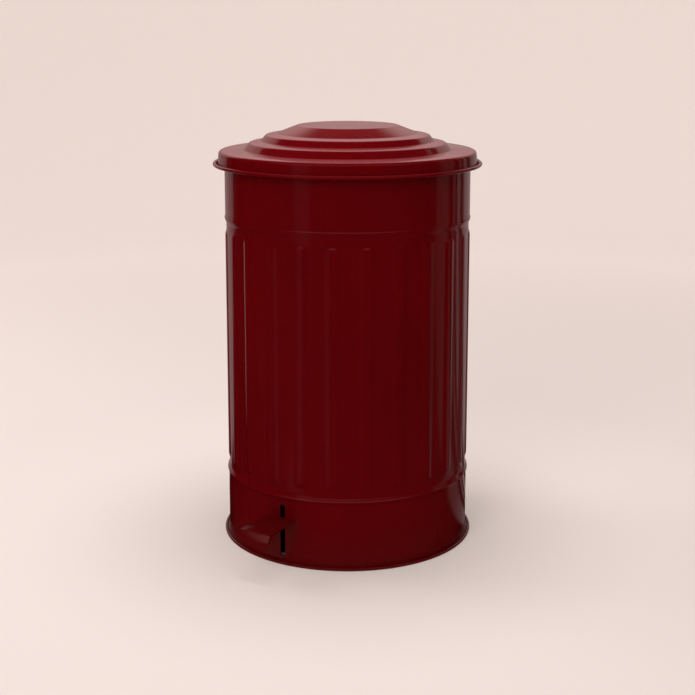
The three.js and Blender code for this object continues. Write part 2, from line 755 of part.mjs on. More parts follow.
// A point of the bail's middle line, from one pivot at 0 round to the other at pi.
function bailPoint(t) {
  const reach = bucketRim + bailClear
  const drop = radians(bailHang)
  const out = reach * Math.sin(t)
  return new THREE.Vector3(reach * Math.cos(t), -out * Math.cos(drop), bailPivot - out * Math.sin(drop))
}

function tube(curve, steps, outer, bore, sides) {
  const ring = (radius) => Array.from({ length: sides }, (_, i) => {
    const angle = 2 * Math.PI * i / sides
    return new THREE.Vector2(radius * Math.cos(angle), radius * Math.sin(angle))
  })
  const shape = new THREE.Shape(ring(outer))
  if (bore > 0) shape.holes.push(new THREE.Path(ring(bore)))
  return toSolid(new THREE.ExtrudeGeometry(shape, { steps, extrudePath: curve, bevelEnabled: false }))
}

function bailWire() {
  const points = Array.from({ length: 13 }, (_, i) => bailPoint(Math.PI * i / 12))
  const arch = tube(new THREE.CatmullRomCurve3(points), 26, bailRadius, 0, 8)
  // Each end turns in through a round elbow to a short pivot in the bucket's lug.
  const ends = [-1, 1].map((side) => {
    const corner = bailPoint(side > 0 ? 0 : Math.PI)
    const elbow = new THREE.SphereGeometry(bailRadius * 1.02, 8, 6)
    elbow.translate(corner.x, corner.y, corner.z)
    const pivot = bar(bailRadius, corner.toArray(), [side * (bucketSide + 1.6), 0, bailPivot], 8)
    return unite(toSolid(elbow), pivot)
  })
  return unite(arch, ...ends)
}

function bailGrip() {
  const points = Array.from({ length: 9 }, (_, i) => bailPoint(Math.PI / 2 + gripSpan * (i / 4 - 1)))
  return tube(new THREE.CatmullRomCurve3(points), 8, gripRadius, bailRadius + fitGap + 0.2, 10)
}

// ---------------------------------------------------------------- assembly

const can = body('can', canPieces())
can.add(
  body('lid', lidPieces()),
  body('pedal', [['pedal_lever', pedalLever(), zinc], ['pedal_tread', pedalTread(), lacquer]]),
  body('rod', [['push_rod', pushRod(), brightSteel], ['rod_cap', rodCap(), nylon]]),
  body('bucket', [['inner_bucket', innerBucket(), bucketPlastic]]),
  body('bail', [['bail_wire', bailWire(), brightSteel], ['bail_grip', bailGrip(), bucketPlastic]]),
)

export default can
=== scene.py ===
"""A foot-operated steel waste can: its pieces, their finishes and a plain studio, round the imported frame."""

import json
import math
from contextlib import contextmanager

import bmesh
import bpy
from bpy.props import FloatProperty, FloatVectorProperty, IntProperty, PointerProperty
from bpy.types import Operator, Panel, PropertyGroup
from mathutils import Matrix, Vector


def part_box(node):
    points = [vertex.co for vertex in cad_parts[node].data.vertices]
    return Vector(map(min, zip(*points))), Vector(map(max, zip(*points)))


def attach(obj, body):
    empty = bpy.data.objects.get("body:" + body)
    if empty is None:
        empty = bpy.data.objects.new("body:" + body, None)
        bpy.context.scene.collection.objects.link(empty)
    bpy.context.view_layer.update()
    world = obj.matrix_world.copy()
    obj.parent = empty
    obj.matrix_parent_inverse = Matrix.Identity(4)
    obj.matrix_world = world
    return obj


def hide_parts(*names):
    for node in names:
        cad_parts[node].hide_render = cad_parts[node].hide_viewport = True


bl_info = {
    "name": "Waste can",
    "version": (1, 0, 0),
    "blender": (4, 5, 0),
    "location": "View3D > Sidebar > Waste can",
    "description": "Models a ribbed steel waste can with a pedal-operated lid",
    "category": "Add Mesh",
}

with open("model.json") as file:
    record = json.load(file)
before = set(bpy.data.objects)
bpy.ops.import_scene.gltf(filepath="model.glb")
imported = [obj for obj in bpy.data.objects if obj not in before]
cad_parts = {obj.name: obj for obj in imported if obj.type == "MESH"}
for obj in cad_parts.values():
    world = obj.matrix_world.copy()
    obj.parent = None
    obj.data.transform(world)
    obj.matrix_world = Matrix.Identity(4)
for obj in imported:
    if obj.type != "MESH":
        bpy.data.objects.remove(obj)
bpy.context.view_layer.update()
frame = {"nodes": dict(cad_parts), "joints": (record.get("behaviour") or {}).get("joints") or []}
MM = 0.001
SHEET = 0.8 * MM  # thickness of the pressed steel
RIM_ROLL = 2.2 * MM  # outer radius of the can's rolled rim
FIT = 0.3 * MM  # gap between pieces that touch, or that turn or slide in each other
WELD = 2e-6  # points closer than this are one point
TOUCH = 1e-5  # how far a point may be from a line that it is said to be on


def centre(node):
    """The middle of a node's box."""
    low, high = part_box(node)
    return (low + high) / 2


def joint_place(name):
    """The point that a hinge turns about."""
    return Vector(next(j["pos_m"] for j in frame["joints"] if j["name"] == name))


# Places and sizes that the frame settles
SHELL_LOW, SHELL_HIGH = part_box("body_shell")
LID_LOW, LID_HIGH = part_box("lid_shell")
RING_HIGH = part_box("foot_ring")[1]
PAN_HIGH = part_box("base_pan")[1]
FLOOR_LOW, FLOOR_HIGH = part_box("inner_floor")
TREAD_LOW, TREAD_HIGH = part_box("pedal_tread")
LEVER_LOW, LEVER_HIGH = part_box("pedal_lever")
BUCKET_LOW, BUCKET_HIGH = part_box("inner_bucket")
BRACKET_LOW, BRACKET_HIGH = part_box("hinge_bracket")
LEAF_LOW, LEAF_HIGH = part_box("lid_leaf")
GUIDE_LOW, GUIDE_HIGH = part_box("rod_guide")
LID_AXIS = joint_place("lid_hinge")
PEDAL_AXIS = joint_place("pedal_pivot")
BAIL_AXIS = joint_place("bail_hinge")
ROD = centre("push_rod")
WALL = SHELL_HIGH.x - 2 * RIM_ROLL + SHEET  # outer radius of the can's plain bands


# ---------------------------------------------------------------- sizes and colours


def length(name, text, default):
    return FloatProperty(name=name, description=text, default=default, min=0, unit="LENGTH", precision=5)


def colour(name, text, default):
    return FloatVectorProperty(
        name=name, description=text, default=default, min=0, max=1, size=3, subtype="COLOR"
    )


class CanSizes(PropertyGroup):
    sheet: length("Sheet", "Thickness of the pressed steel", SHEET)
    rim_roll: length("Rim roll", "Outer radius of the can's rolled rim", RIM_ROLL)
    foot_roll: length("Foot roll", "Radius of the wired edge round the foot", 1.7 * MM)
    lower_bead: length("Lower bead", "Height of the lower bead's middle", 79.3 * MM)
    upper_bead: length("Upper bead", "Height of the upper bead's middle", 386.2 * MM)
    bead_half: length("Bead half height", "Half the height of a bead", 3 * MM)
    lower_rise: length("Lower bead rise", "How far the lower bead stands out", 1.3 * MM)
    upper_rise: length("Upper bead rise", "How far the upper bead stands out", 0.75 * MM)
    panel_depth: length("Panel depth", "How far the ribbed panel is set in", 1.2 * MM)
    rib_rise: length("Rib rise", "How far a rib stands out of the panel", 1.5 * MM)
    rib_crown: length("Rib crown", "Half the width of a rib's crown", 3.4 * MM)
    rib_flank: length("Rib flank", "Width of a rib's rounded side", 6.6 * MM)
    rib_gap: length("Rib gap", "From a bead's middle to the end of a rib", 9.7 * MM)
    rib_count: IntProperty(name="Ribs", description="Number of ribs round the can", default=24, min=3)
    first_rib: FloatProperty(
        name="First rib", description="Angle from the pedal to the first rib",
        default=math.radians(9.4), subtype="ANGLE",
    )
    slot_width: length("Slot width", "Width of the lever's slot", 6.5 * MM)
    slot_low: length("Slot foot", "Lower end of the lever's slot", 7.6 * MM)
    slot_high: length("Slot top", "Upper end of the lever's slot", 71.5 * MM)


class LidSizes(PropertyGroup):
    disc: length("Disc radius", "Radius of the flat top disc", 59.4 * MM)
    cone: length("Cone radius", "Radius at the foot of the cone", 83 * MM)
    cone_drop: length("Cone drop", "Depth of the cone", 9.1 * MM)
    upper_ring: length("Upper ring", "Outer radius of the upper ring", 96.3 * MM)
    upper_fall: length("Upper ring fall", "How far the upper ring slopes down", 2 * MM)
    upper_riser: length("Upper riser", "Radius at the foot of the upper ring's riser", 102 * MM)
    riser_drop: length("Upper riser drop", "Depth of the upper ring's riser", 6.7 * MM)
    lower_ring: length("Lower ring", "Outer radius of the lower ring", 116 * MM)
    lower_fall: length("Lower ring fall", "How far the lower ring slopes down", 2.4 * MM)
    lower_riser: length("Lower riser", "Radius at the foot of the lower ring's riser", 122 * MM)
    lower_drop: length("Lower riser drop", "Depth of the lower ring's riser", 8 * MM)
    brim_fall: length("Brim fall", "How far the outer flat slopes down", 0.9 * MM)
    skirt: length("Skirt", "Height of the skirt", 14.2 * MM)
    skirt_top: length("Skirt top", "Skirt's radius under the shoulder, past the can's wall", 6.5 * MM)
    skirt_foot: length("Skirt foot", "Skirt's radius at its foot, past the can's wall", 8 * MM)
    roll: length("Edge roll", "Radius of the lid's rolled edge", 2 * MM)


class PedalSizes(PropertyGroup):
    tread_sheet: length("Tread sheet", "Thickness of the tread", 1.8 * MM)
    lip_reach: length("Lip reach", "How far the lip stands forward", 5 * MM)
    lip_drop: length("Lip drop", "How far the lip hangs down", 8.7 * MM)
    lever_sheet: length("Lever sheet", "Thickness of the lever", 3 * MM)
    lever_depth: length("Lever depth", "Depth of the lever at the wall", 12 * MM)


class HingeSizes(PropertyGroup):
    sheet: length("Hinge sheet", "Thickness of the hinge bracket", 1.5 * MM)
    knuckle: length("Knuckle", "Outer radius of the hinge's knuckles", 4.2 * MM)
    pin: length("Pin", "Radius of the hinge pin", 2 * MM)
    leaf_half: length("Leaf", "Half the width of the lid's leaf", 14 * MM)


class BucketSizes(PropertyGroup):
    wall: length("Bucket wall", "Thickness of the bucket", 1.4 * MM)
    rim: length("Bucket rim", "Outer radius of the bucket's rim", 128 * MM)
    rim_step: length("Rim step", "How far the rim stands out of the side", 4.2 * MM)
    rim_depth: length("Rim depth", "Height of the rim's band", 10 * MM)
    taper: length("Taper", "How much smaller the bucket is at its foot", 11 * MM)
    bail: length("Bail wire", "Radius of the bail's wire", 2 * MM)
    grip: length("Grip", "Radius of the bail's grip", 5 * MM)


class Finishes(PropertyGroup):
    lacquer: colour("Lacquer", "Gloss lacquer on the can, lid and pedal", (0.104, 0.0001, 0.0014))
    zinc: colour("Zinc", "Zinc-plated inner sheet parts", (0.52, 0.53, 0.55))
    steel: colour("Steel", "Bright plated wire, pins and rivets", (0.62, 0.62, 0.63))
    plastic: colour("Bucket", "Moulded bucket and grip", (0.022, 0.024, 0.027))
    nylon: colour("Nylon", "Rod cap and bush", (0.78, 0.76, 0.70))
    rubber: colour("Rubber", "Lid bumpers", (0.018, 0.018, 0.018))
    backdrop: colour("Backdrop", "Seamless paper", (0.80, 0.71, 0.67))


# ---------------------------------------------------------------- modelling by operators


def deselect():
    for thing in bpy.context.selected_objects:
        thing.select_set(False)


def added(name):
    """Names the primitive that was just added."""
    piece = bpy.context.object
    piece.name = name
    piece.data.name = name
    return piece


def only(piece):
    """Makes a piece the only one selected, and the active one."""
    deselect()
    piece.select_set(True)
    bpy.context.view_layer.objects.active = piece


@contextmanager
def editing(piece):
    only(piece)
    bpy.ops.object.mode_set(mode="EDIT")
    try:
        yield
    finally:
        bpy.ops.object.mode_set(mode="OBJECT")


def select(piece, kind, test):
    """Selects the vertices or edges that pass a test, and nothing else."""
    bpy.ops.mesh.select_mode(type=kind)
    bpy.ops.mesh.select_all(action="DESELECT")
    mesh = bmesh.from_edit_mesh(piece.data)
    for part in mesh.edges if kind == "EDGE" else mesh.verts:
        part.select = test(part)
    mesh.select_flush_mode()
    bmesh.update_edit_mesh(piece.data)


def pick(piece, test):
    """Selects the vertices at places that pass a test."""
    select(piece, "VERT", lambda vertex: test(vertex.co))


def pick_edges(piece, test):
    """Selects the edges with both ends at places that pass a test."""
    select(piece, "EDGE", lambda edge: all(test(vertex.co) for vertex in edge.verts))


def extrude(x, y, z):
    """Draws the selected edges out into faces."""
    bpy.ops.mesh.extrude_edges_move(TRANSFORM_OT_translate={"value": (x, y, z)})


def resize(scale, about):
    bpy.ops.transform.resize(value=scale, center_override=about)


def face_outward():
    """Points every face of the piece that is being edited outward."""
    bpy.ops.mesh.select_all(action="SELECT")
    bpy.ops.mesh.normals_make_consistent(inside=False)


def settle(piece):
    """Moves the object's place, turn and scale into its mesh."""
    only(piece)
    bpy.ops.object.transform_apply(location=True, rotation=True, scale=True)
    return piece


def sized(piece, scale):
    """Scales a new primitive along its own axes, because flat primitives take no scale of their own."""
    piece.scale = scale
    return settle(piece)


def modify(piece, kind, **values):
    """Adds a modifier, sets it and applies it."""
    only(piece)
    modifier = piece.modifiers.new(kind.title(), kind)
    for key, value in values.items():
        setattr(modifier, key, value)
    bpy.ops.object.modifier_apply(modifier=modifier.name)
    return piece


def close_seams(piece, apart=WELD):
    with editing(piece):
        bpy.ops.mesh.select_all(action="SELECT")
        bpy.ops.mesh.remove_doubles(threshold=apart)
        face_outward()
    return piece


def face_away(piece):
    """Turns a tall sheet's faces so that its plain wall points away from the axis."""
    wall = [f for f in piece.data.polygons if abs(f.normal.z) < 0.1]
    if sum(f.normal.xy.dot(f.center.xy) for f in wall) < 0:
        with editing(piece):
            bpy.ops.mesh.select_all(action="SELECT")
            bpy.ops.mesh.flip_normals()
    return piece


def smooth(piece, degrees=30):
    only(piece)
    bpy.ops.object.shade_smooth_by_angle(angle=math.radians(degrees))
    return piece


def join(piece, *others):
    """Joins solids into one by union, so that no inner faces are left."""
    return cut(piece, *others, operation="UNION")


def cut(piece, *tools, operation="DIFFERENCE"):
    for tool in tools:
        modify(piece, "BOOLEAN", operation=operation, object=tool, solver="EXACT")
        bpy.data.objects.remove(tool)
    return piece


def round_edges(piece, width, segments=3, degrees=40):
    return modify(
        piece, "BEVEL", width=width, segments=segments,
        limit_method="ANGLE", angle_limit=math.radians(degrees),
    )


def arc(r, z, radius, start, end, steps):
    """Points of an arc about (r, z), between two angles in degrees from the outward direction."""
    angles = (math.radians(start + (end - start) * i / steps) for i in range(steps + 1))
    return [(r + radius * math.cos(a), z + radius * math.sin(a)) for a in angles]


def rounded(corners, steps=5):
    """A line through corners of (r, z, fillet radius), with each filleted corner as an arc."""
    line = []
    for i, (r, z, fillet) in enumerate(corners):
        here = Vector((r, z))
        if not fillet or i in (0, len(corners) - 1):
            line.append((r, z))
            continue
        back = (Vector(corners[i - 1][:2]) - here).normalized()
        on = (Vector(corners[i + 1][:2]) - here).normalized()
        half = back.angle(on) / 2
        middle = here + (back + on).normalized() * fillet / math.sin(half)
        reach = fillet / math.tan(half)
        first, last = here + back * reach - middle, here + on * reach - middle
        turn = first.angle_signed(last)
        for k in range(steps + 1):
            spoke = Matrix.Rotation(-turn * k / steps, 2) @ first
            line.append(tuple(middle + spoke))
    return line


def turned(name, line, sides=128, shut_start=False, shut_end=False, closed=False):
    """Draws a ring out along a line of (radius, height) points. It can close to a disc at either end."""
    (radius, height), *rest = line
    fill = "TRIFAN" if shut_start else "NOTHING"
    deselect()
    bpy.ops.mesh.primitive_circle_add(vertices=sides, radius=radius, fill_type=fill, location=(0, 0, height))
    piece = settle(added(name))
    with editing(piece):
        pick_edges(piece, lambda co: co.xy.length > radius * 0.5)
        for to_radius, to_height in rest:
            extrude(0, 0, to_height - height)
            scale = to_radius / radius
            resize((scale, scale, 1), (0, 0, to_height))
            radius, height = to_radius, to_height
        if shut_end:
            extrude(0, 0, 0)
            bpy.ops.mesh.merge(type="CENTER")
    return close_seams(piece) if closed or shut_start or shut_end else piece


def spun(name, line, start, towards, sides=32, closed=False):
    """A turned solid about the line from one point towards another; its line gives (radius, distance)."""
    piece = turned(name, line, sides, shut_start=not closed, shut_end=not closed, closed=closed)
    direction = (Vector(towards) - Vector(start)).normalized()
    turn = direction.to_track_quat("Z", "Y").to_matrix().to_4x4()
    piece.matrix_world = Matrix.Translation(Vector(start)) @ turn
    return smooth(settle(piece))


def bar(name, radius, start, end, sides=32):
    """A plain round bar, as a cutter or as the start of a piece."""
    start, end = Vector(start), Vector(end)
    deselect()
    bpy.ops.mesh.primitive_cylinder_add(
        vertices=sides,
        radius=radius,
        depth=(end - start).length,
        location=(start + end) / 2,
        rotation=(end - start).to_track_quat("Z", "Y").to_euler(),
    )
    return settle(added(name))


def cross_bar(name, radius, half, place, sides=32):
    """A round bar along X through a place."""
    return bar(name, radius, (-half, place.y, place.z), (half, place.y, place.z), sides)


def block(name, low, high):
    """A plain box between two corners, as a cutter or as the start of a piece."""
    low, high = Vector(low), Vector(high)
    deselect()
    bpy.ops.mesh.primitive_cube_add(size=1, location=(low + high) / 2, scale=high - low)
    return settle(added(name))


def outward(piece, thickness, **more):
    """Gives a surface its wall, on the side away from its normals."""
    return modify(piece, "SOLIDIFY", thickness=thickness, offset=-1, use_even_offset=True, **more)


def arch(name, radius, sides, reach, turn, steps):
    """A tube bent round Z towards -Y, from an angle past +X to the same angle past -X."""
    start = (reach * math.cos(turn), -reach * math.sin(turn), 0)
    deselect()
    bpy.ops.mesh.primitive_circle_add(
        vertices=sides, radius=radius, fill_type="NOTHING", location=start, rotation=(math.pi / 2, 0, -turn)
    )
    piece = settle(added(name))
    with editing(piece):
        bpy.ops.mesh.select_all(action="SELECT")
        bpy.ops.mesh.spin(steps=steps, angle=math.pi - 2 * turn, center=(0, 0, 0), axis=(0, 0, 1))
    return piece


def done(piece, finish, body, node):
    """Gives a finished piece its finish, its body and the node that it stands for."""
    piece.data.materials.clear()
    piece.data.materials.append(finish_named(finish))
    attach(piece, body)
    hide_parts(node)


# ---------------------------------------------------------------- finishes


def node_at(tree, kind, **values):
    """Adds a node and sets its properties, or its inputs where the value's name is an input."""
    node = tree.nodes.new(kind)
    for key, value in values.items():
        name = key.replace("_", " ")
        if name in node.inputs:
            node.inputs[name].default_value = value
        else:
            setattr(node, key, value)
    return node


def new_group(name, inputs, outputs):
    """An empty shader node group with float inputs and outputs, its input node and its output node."""
    tree = bpy.data.node_groups.new(name, "ShaderNodeTree")
    for label, kind, default in inputs:
        socket = tree.interface.new_socket(label, in_out="INPUT", socket_type=kind)
        if default is not None:
            socket.default_value = default
    for label, kind in outputs:
        tree.interface.new_socket(label, in_out="OUTPUT", socket_type=kind)
    return tree, tree.nodes.new("NodeGroupInput"), tree.nodes.new("NodeGroupOutput")


FLOAT, VECTOR = "NodeSocketFloat", "NodeSocketVector"


def plug(tree, value, socket):
    """Links a socket's value to an input, or sets the input to a plain value."""
    if isinstance(value, bpy.types.NodeSocket):
        tree.links.new(value, socket)
    else:
        socket.default_value = value


def maths(tree, operation, first, second):
    """A Math node with each operand linked or set."""
    node = node_at(tree, "ShaderNodeMath", operation=operation)
    plug(tree, first, node.inputs[0])
    plug(tree, second, node.inputs[1])
    return node.outputs[0]


def product(tree, first, *rest):
    for value in rest:
        first = maths(tree, "MULTIPLY", first, value)
    return first


def noise(tree, place, scale, detail=3.0, roughness=0.5):
    node = node_at(tree, "ShaderNodeTexNoise", Detail=detail, Roughness=roughness)
    tree.links.new(place, node.inputs["Vector"])
    plug(tree, scale, node.inputs["Scale"])
    return node.outputs["Fac"]


def between(tree, value, low, high, to_low=0.0, to_high=1.0):
    """A value mapped from one range to another, and kept inside it."""
    node = node_at(tree, "ShaderNodeMapRange", clamp=True)
    keys = ("Value", "From Min", "From Max", "To Min", "To Max")
    for key, part in zip(keys, (value, low, high, to_low, to_high)):
        plug(tree, part, node.inputs[key])
    return node.outputs["Result"]


def sprayed_group():
    """Lacquer's orange peel and the slow ripple of thin sheet, as a height in metres."""
    tree, given, made = new_group(
        "Sprayed surface",
        [("Place", VECTOR, None), ("Peel", FLOAT, 4e-6), ("Ripple", FLOAT, 6e-5)],
        [("Height", FLOAT)],
    )
    peel = product(tree, noise(tree, given.outputs["Place"], 420.0, 2.0), given.outputs["Peel"])
    ripple = product(tree, noise(tree, given.outputs["Place"], 9.0, 1.0), given.outputs["Ripple"])
    tree.links.new(maths(tree, "ADD", peel, ripple), made.inputs["Height"])
    return tree


def handled_group():
    """Roughness that varies with wiping marks and faint smudges."""
    tree, given, made = new_group(
        "Handled surface",
        [("Place", VECTOR, None), ("Clean", FLOAT, 0.2), ("Smudged", FLOAT, 0.3), ("Size", FLOAT, 14.0)],
        [("Roughness", FLOAT)],
    )
    streaks = node_at(tree, "ShaderNodeMapping", Scale=(1.0, 1.0, 0.22))
    tree.links.new(given.outputs["Place"], streaks.inputs["Vector"])
    wiped = noise(tree, streaks.outputs["Vector"], given.outputs["Size"], 3.0, 0.5)
    amount = between(tree, wiped, 0.3, 0.75)
    rough = between(tree, amount, 0.0, 1.0, given.outputs["Clean"], given.outputs["Smudged"])
    tree.links.new(rough, made.inputs["Roughness"])
    return tree


def dust_group():
    """A mask of fine dust that thins out above a height."""
    tree, given, made = new_group(
        "Settled dust",
        [("Place", VECTOR, None), ("Up to", FLOAT, 0.04), ("Amount", FLOAT, 0.3)],
        [("Mask", FLOAT)],
    )
    parts = tree.nodes.new("ShaderNodeSeparateXYZ")
    tree.links.new(given.outputs["Place"], parts.inputs[0])
    low = between(tree, parts.outputs["Z"], 0.0, given.outputs["Up to"], 1.0, 0.0)
    specks = between(tree, noise(tree, given.outputs["Place"], 260.0, 6.0, 0.75), 0.35, 0.8)
    tree.links.new(product(tree, low, specks, given.outputs["Amount"]), made.inputs["Mask"])
    return tree


def worn_group():
    """A mask of small scuffs, for places that shoes, hands or other pieces rub."""
    tree, given, made = new_group(
        "Scuffs",
        [("Place", VECTOR, None), ("Size", FLOAT, 180.0), ("Cover", FLOAT, 0.2)],
        [("Mask", FLOAT)],
    )
    stretched = node_at(tree, "ShaderNodeMapping", Scale=(1.0, 0.25, 1.0), Rotation=(0.0, 0.0, 0.5))
    tree.links.new(given.outputs["Place"], stretched.inputs["Vector"])
    scratches = noise(tree, stretched.outputs["Vector"], given.outputs["Size"], 8.0, 0.7)
    patches = noise(tree, given.outputs["Place"], 24.0, 2.0)
    threshold = between(tree, given.outputs["Cover"], 0.0, 1.0, 0.85, 0.35)
    both = product(tree, maths(tree, "ADD", scratches, patches), 0.5)
    mask = between(tree, both, threshold, maths(tree, "ADD", threshold, 0.06))
    tree.links.new(mask, made.inputs["Mask"])
    return tree


def grain_group():
    """Brushed or rolled grain along one direction, as a value about 0.5."""
    tree, given, made = new_group(
        "Metal grain",
        [("Place", VECTOR, None), ("Along", VECTOR, (1.0, 1.0, 0.03)), ("Fineness", FLOAT, 900.0)],
        [("Value", FLOAT)],
    )
    stretched = node_at(tree, "ShaderNodeVectorMath", operation="MULTIPLY")
    tree.links.new(given.outputs["Place"], stretched.inputs[0])
    tree.links.new(given.outputs["Along"], stretched.inputs[1])
    grain = noise(tree, stretched.outputs["Vector"], given.outputs["Fineness"], 4.0, 0.6)
    tree.links.new(grain, made.inputs["Value"])
    return tree


def spangle_group():
    """The crystal pattern of zinc plating, as a value that differs from crystal to crystal."""
    tree, given, made = new_group(
        "Zinc spangle", [("Place", VECTOR, None), ("Size", FLOAT, 160.0)], [("Value", FLOAT)]
    )
    warp = node_at(tree, "ShaderNodeTexNoise", Scale=60.0, Detail=2.0)
    tree.links.new(given.outputs["Place"], warp.inputs["Vector"])
    shifted = node_at(tree, "ShaderNodeMix", data_type="VECTOR")
    shifted.inputs["Factor"].default_value = 0.006
    tree.links.new(given.outputs["Place"], shifted.inputs["A"])
    tree.links.new(warp.outputs["Color"], shifted.inputs["B"])
    cells = node_at(tree, "ShaderNodeTexVoronoi", feature="F1")
    tree.links.new(shifted.outputs["Result"], cells.inputs["Vector"])
    tree.links.new(given.outputs["Size"], cells.inputs["Scale"])
    grey = node_at(tree, "ShaderNodeRGBToBW")
    tree.links.new(cells.outputs["Color"], grey.inputs[0])
    tree.links.new(grey.outputs[0], made.inputs["Value"])
    return tree


GROUPS = {
    "sprayed": sprayed_group,
    "handled": handled_group,
    "dust": dust_group,
    "worn": worn_group,
    "grain": grain_group,
    "spangle": spangle_group,
}


class Finish:
    """A material in the making: a Principled shader, the object's coordinates and shared groups."""

    def __init__(self, name, **sockets):
        self.material = bpy.data.materials.new(name)
        self.material.use_nodes = True
        self.tree = self.material.node_tree
        self.shader = self.tree.nodes["Principled BSDF"]
        for key, value in sockets.items():
            self.shader.inputs[key.replace("_", " ")].default_value = value
        self.place = self.tree.nodes.new("ShaderNodeTexCoord").outputs["Object"]

    def group(self, key, **inputs):
        """A shared group, built when it is first used. Returns its first output."""
        label = GROUPS[key].__name__
        tree = bpy.data.node_groups.get(label)
        if tree is None:
            tree = GROUPS[key]()
            tree.name = label
        node = self.tree.nodes.new("ShaderNodeGroup")
        node.node_tree = tree
        self.tree.links.new(self.place, node.inputs["Place"])
        for name, value in inputs.items():
            node.inputs[name.replace("_", " ")].default_value = value
        return node.outputs[0]

    def mixed(self, factor, first, second):
        """A colour between two colours, each linked or set."""
        node = node_at(self.tree, "ShaderNodeMix", data_type="RGBA")
        self.tree.links.new(factor, node.inputs["Factor"])
        for key, value in (("A", first), ("B", second)):
            socket = next(s for s in node.inputs if s.name == key and s.type == "RGBA")
            plug(self.tree, (*value, 1.0) if isinstance(value, tuple) else value, socket)
        return next(s for s in node.outputs if s.type == "RGBA")

    def feed(self, key, source):
        self.tree.links.new(source, self.shader.inputs[key])

    def bump(self, height, strength=1.0, distance=1.0):
        node = node_at(self.tree, "ShaderNodeBump", Strength=strength, Distance=distance)
        self.tree.links.new(height, node.inputs["Height"])
        self.feed("Normal", node.outputs["Normal"])


def tinted(rgb, factor):
    return tuple(min(1.0, c * factor) for c in rgb)


def lacquer(name="crimson_lacquer", ripple=6e-5, scuffs=0.0, dust_to=0.05, painted_top_light=0.0, shade=1.0):
    """Deep crimson gloss lacquer under a clear coat. It can be darkened as painted shade, and faces marked as
    upward can get a pale painted top light.
    """
    # A shade below 1 darkens the lacquer's own colour, as painted shade.
    paint = tinted(bpy.context.scene.can_finishes.lacquer, shade)
    made = Finish(name, Specular_IOR_Level=0.04, Coat_Weight=0.6, Coat_Roughness=0.05, Coat_IOR=1.45)
    drift = between(made.tree, noise(made.tree, made.place, 7.0, 2.0), 0.3, 0.7)
    base = made.mixed(drift, tinted(paint, 0.93), tinted(paint, 1.07))
    dust_wear_and_top_light = made.mixed(made.group("dust", Up_to=dust_to, Amount=0.03), base, (0.36, 0.30, 0.28))
    if scuffs:
        dust_wear_and_top_light = made.mixed(made.group("worn", Cover=scuffs), dust_wear_and_top_light, (0.03, 0.002, 0.003))
    # Painted light: faces that point up are tinted pale pink, a painted top light on the lid's flats.
    if painted_top_light:
        upward = node_at(made.tree, "ShaderNodeAttribute", attribute_name="upward").outputs["Fac"]
        top_light_mask = product(made.tree, between(made.tree, upward, 0.93, 0.99), painted_top_light)
        dust_wear_and_top_light = made.mixed(top_light_mask, dust_wear_and_top_light, (0.55, 0.19, 0.21))
    made.feed("Base Color", dust_wear_and_top_light)
    made.feed("Roughness", made.group("handled", Clean=0.24, Smudged=0.34, Size=16.0))
    made.bump(made.group("sprayed", Peel=4e-6, Ripple=ripple))
    return made.material


def zinc():
    """Dull zinc plating with its crystals and a rolled grain."""
    plate = tuple(bpy.context.scene.can_finishes.zinc)
    made = Finish("zinc_plate", Metallic=1.0)
    crystals = made.group("spangle", Size=170.0)
    base = made.mixed(crystals, tinted(plate, 0.82), tinted(plate, 1.12))
    worn = made.mixed(made.group("worn", Size=140.0, Cover=0.22), base, tinted(plate, 0.55))
    made.feed("Base Color", worn)
    made.feed("Roughness", between(made.tree, crystals, 0.0, 1.0, 0.34, 0.5))
    made.bump(made.group("grain", Fineness=700.0), 0.25, 2e-5)
    return made.material


def steel(name="bright_steel", along=(1.0, 1.0, 0.04)):
    """Bright plated steel with drawing marks along it."""
    plate = tuple(bpy.context.scene.can_finishes.steel)
    made = Finish(name, Metallic=1.0)
    grain = made.group("grain", Along=along, Fineness=1400.0)
    made.feed("Base Color", made.mixed(grain, tinted(plate, 0.86), tinted(plate, 1.1)))
    made.feed("Roughness", between(made.tree, grain, 0.3, 0.7, 0.16, 0.34))
    made.bump(grain, 0.2, 1.5e-5)
    return made.material


def moulded(name, rgb, rough=0.46, fineness=1500.0):
    """Moulded plastic or rubber with a fine spark-eroded grain and handling marks."""
    made = Finish(name, Specular_IOR_Level=0.45)
    marks = made.group("worn", Size=90.0, Cover=0.3)
    made.feed("Base Color", made.mixed(marks, rgb, tuple(c * 1.25 + 0.012 for c in rgb)))
    made.feed("Roughness", made.group("handled", Clean=rough, Smudged=rough + 0.14, Size=22.0))
    made.bump(made.group("grain", Along=(1.0, 1.0, 1.0), Fineness=fineness), 0.5, 2.5e-5)
    return made.material


def finish_named(key):
    """The material of that key, made when it is first asked for."""
    found = bpy.data.materials.get(key)
    if found:
        return found
    colours = bpy.context.scene.can_finishes
    makers = {
        "crimson_lacquer": lacquer,
        # The lid's lacquer paints a pale top light onto its upward faces.
        "top_lit_lid_lacquer": lambda: lacquer("top_lit_lid_lacquer", painted_top_light=0.17),
        # The pedal's lacquer is darkened to three quarters as a painted shadow of the lid; its scuffs and low
        # dust are real wear and dirt.
        "shaded_pedal_lacquer": lambda: lacquer("shaded_pedal_lacquer", ripple=1e-5, scuffs=0.24, dust_to=0.09, shade=0.75),
        "zinc_plate": zinc,
        "bright_steel": steel,
        "wire_steel": lambda: steel("wire_steel", (1.0, 0.3, 1.0)),
        "bucket_plastic": lambda: moulded("bucket_plastic", tuple(colours.plastic)),
        "white_nylon": lambda: moulded("white_nylon", tuple(colours.nylon), 0.4, 900.0),
        "black_rubber": lambda: moulded("black_rubber", tuple(colours.rubber), 0.62, 700.0),
    }
    return makers[key]()


# ---------------------------------------------------------------- can


def bead_rows(height, half, rise):
    """Rows up over one bead: (how far out, height)."""
    rows = 8
    swell = [rise * (0.5 - 0.5 * math.cos(2 * math.pi * k / rows)) for k in range(rows + 1)]
    return [(out, height - half + 2 * half * k / rows) for k, out in enumerate(swell)]


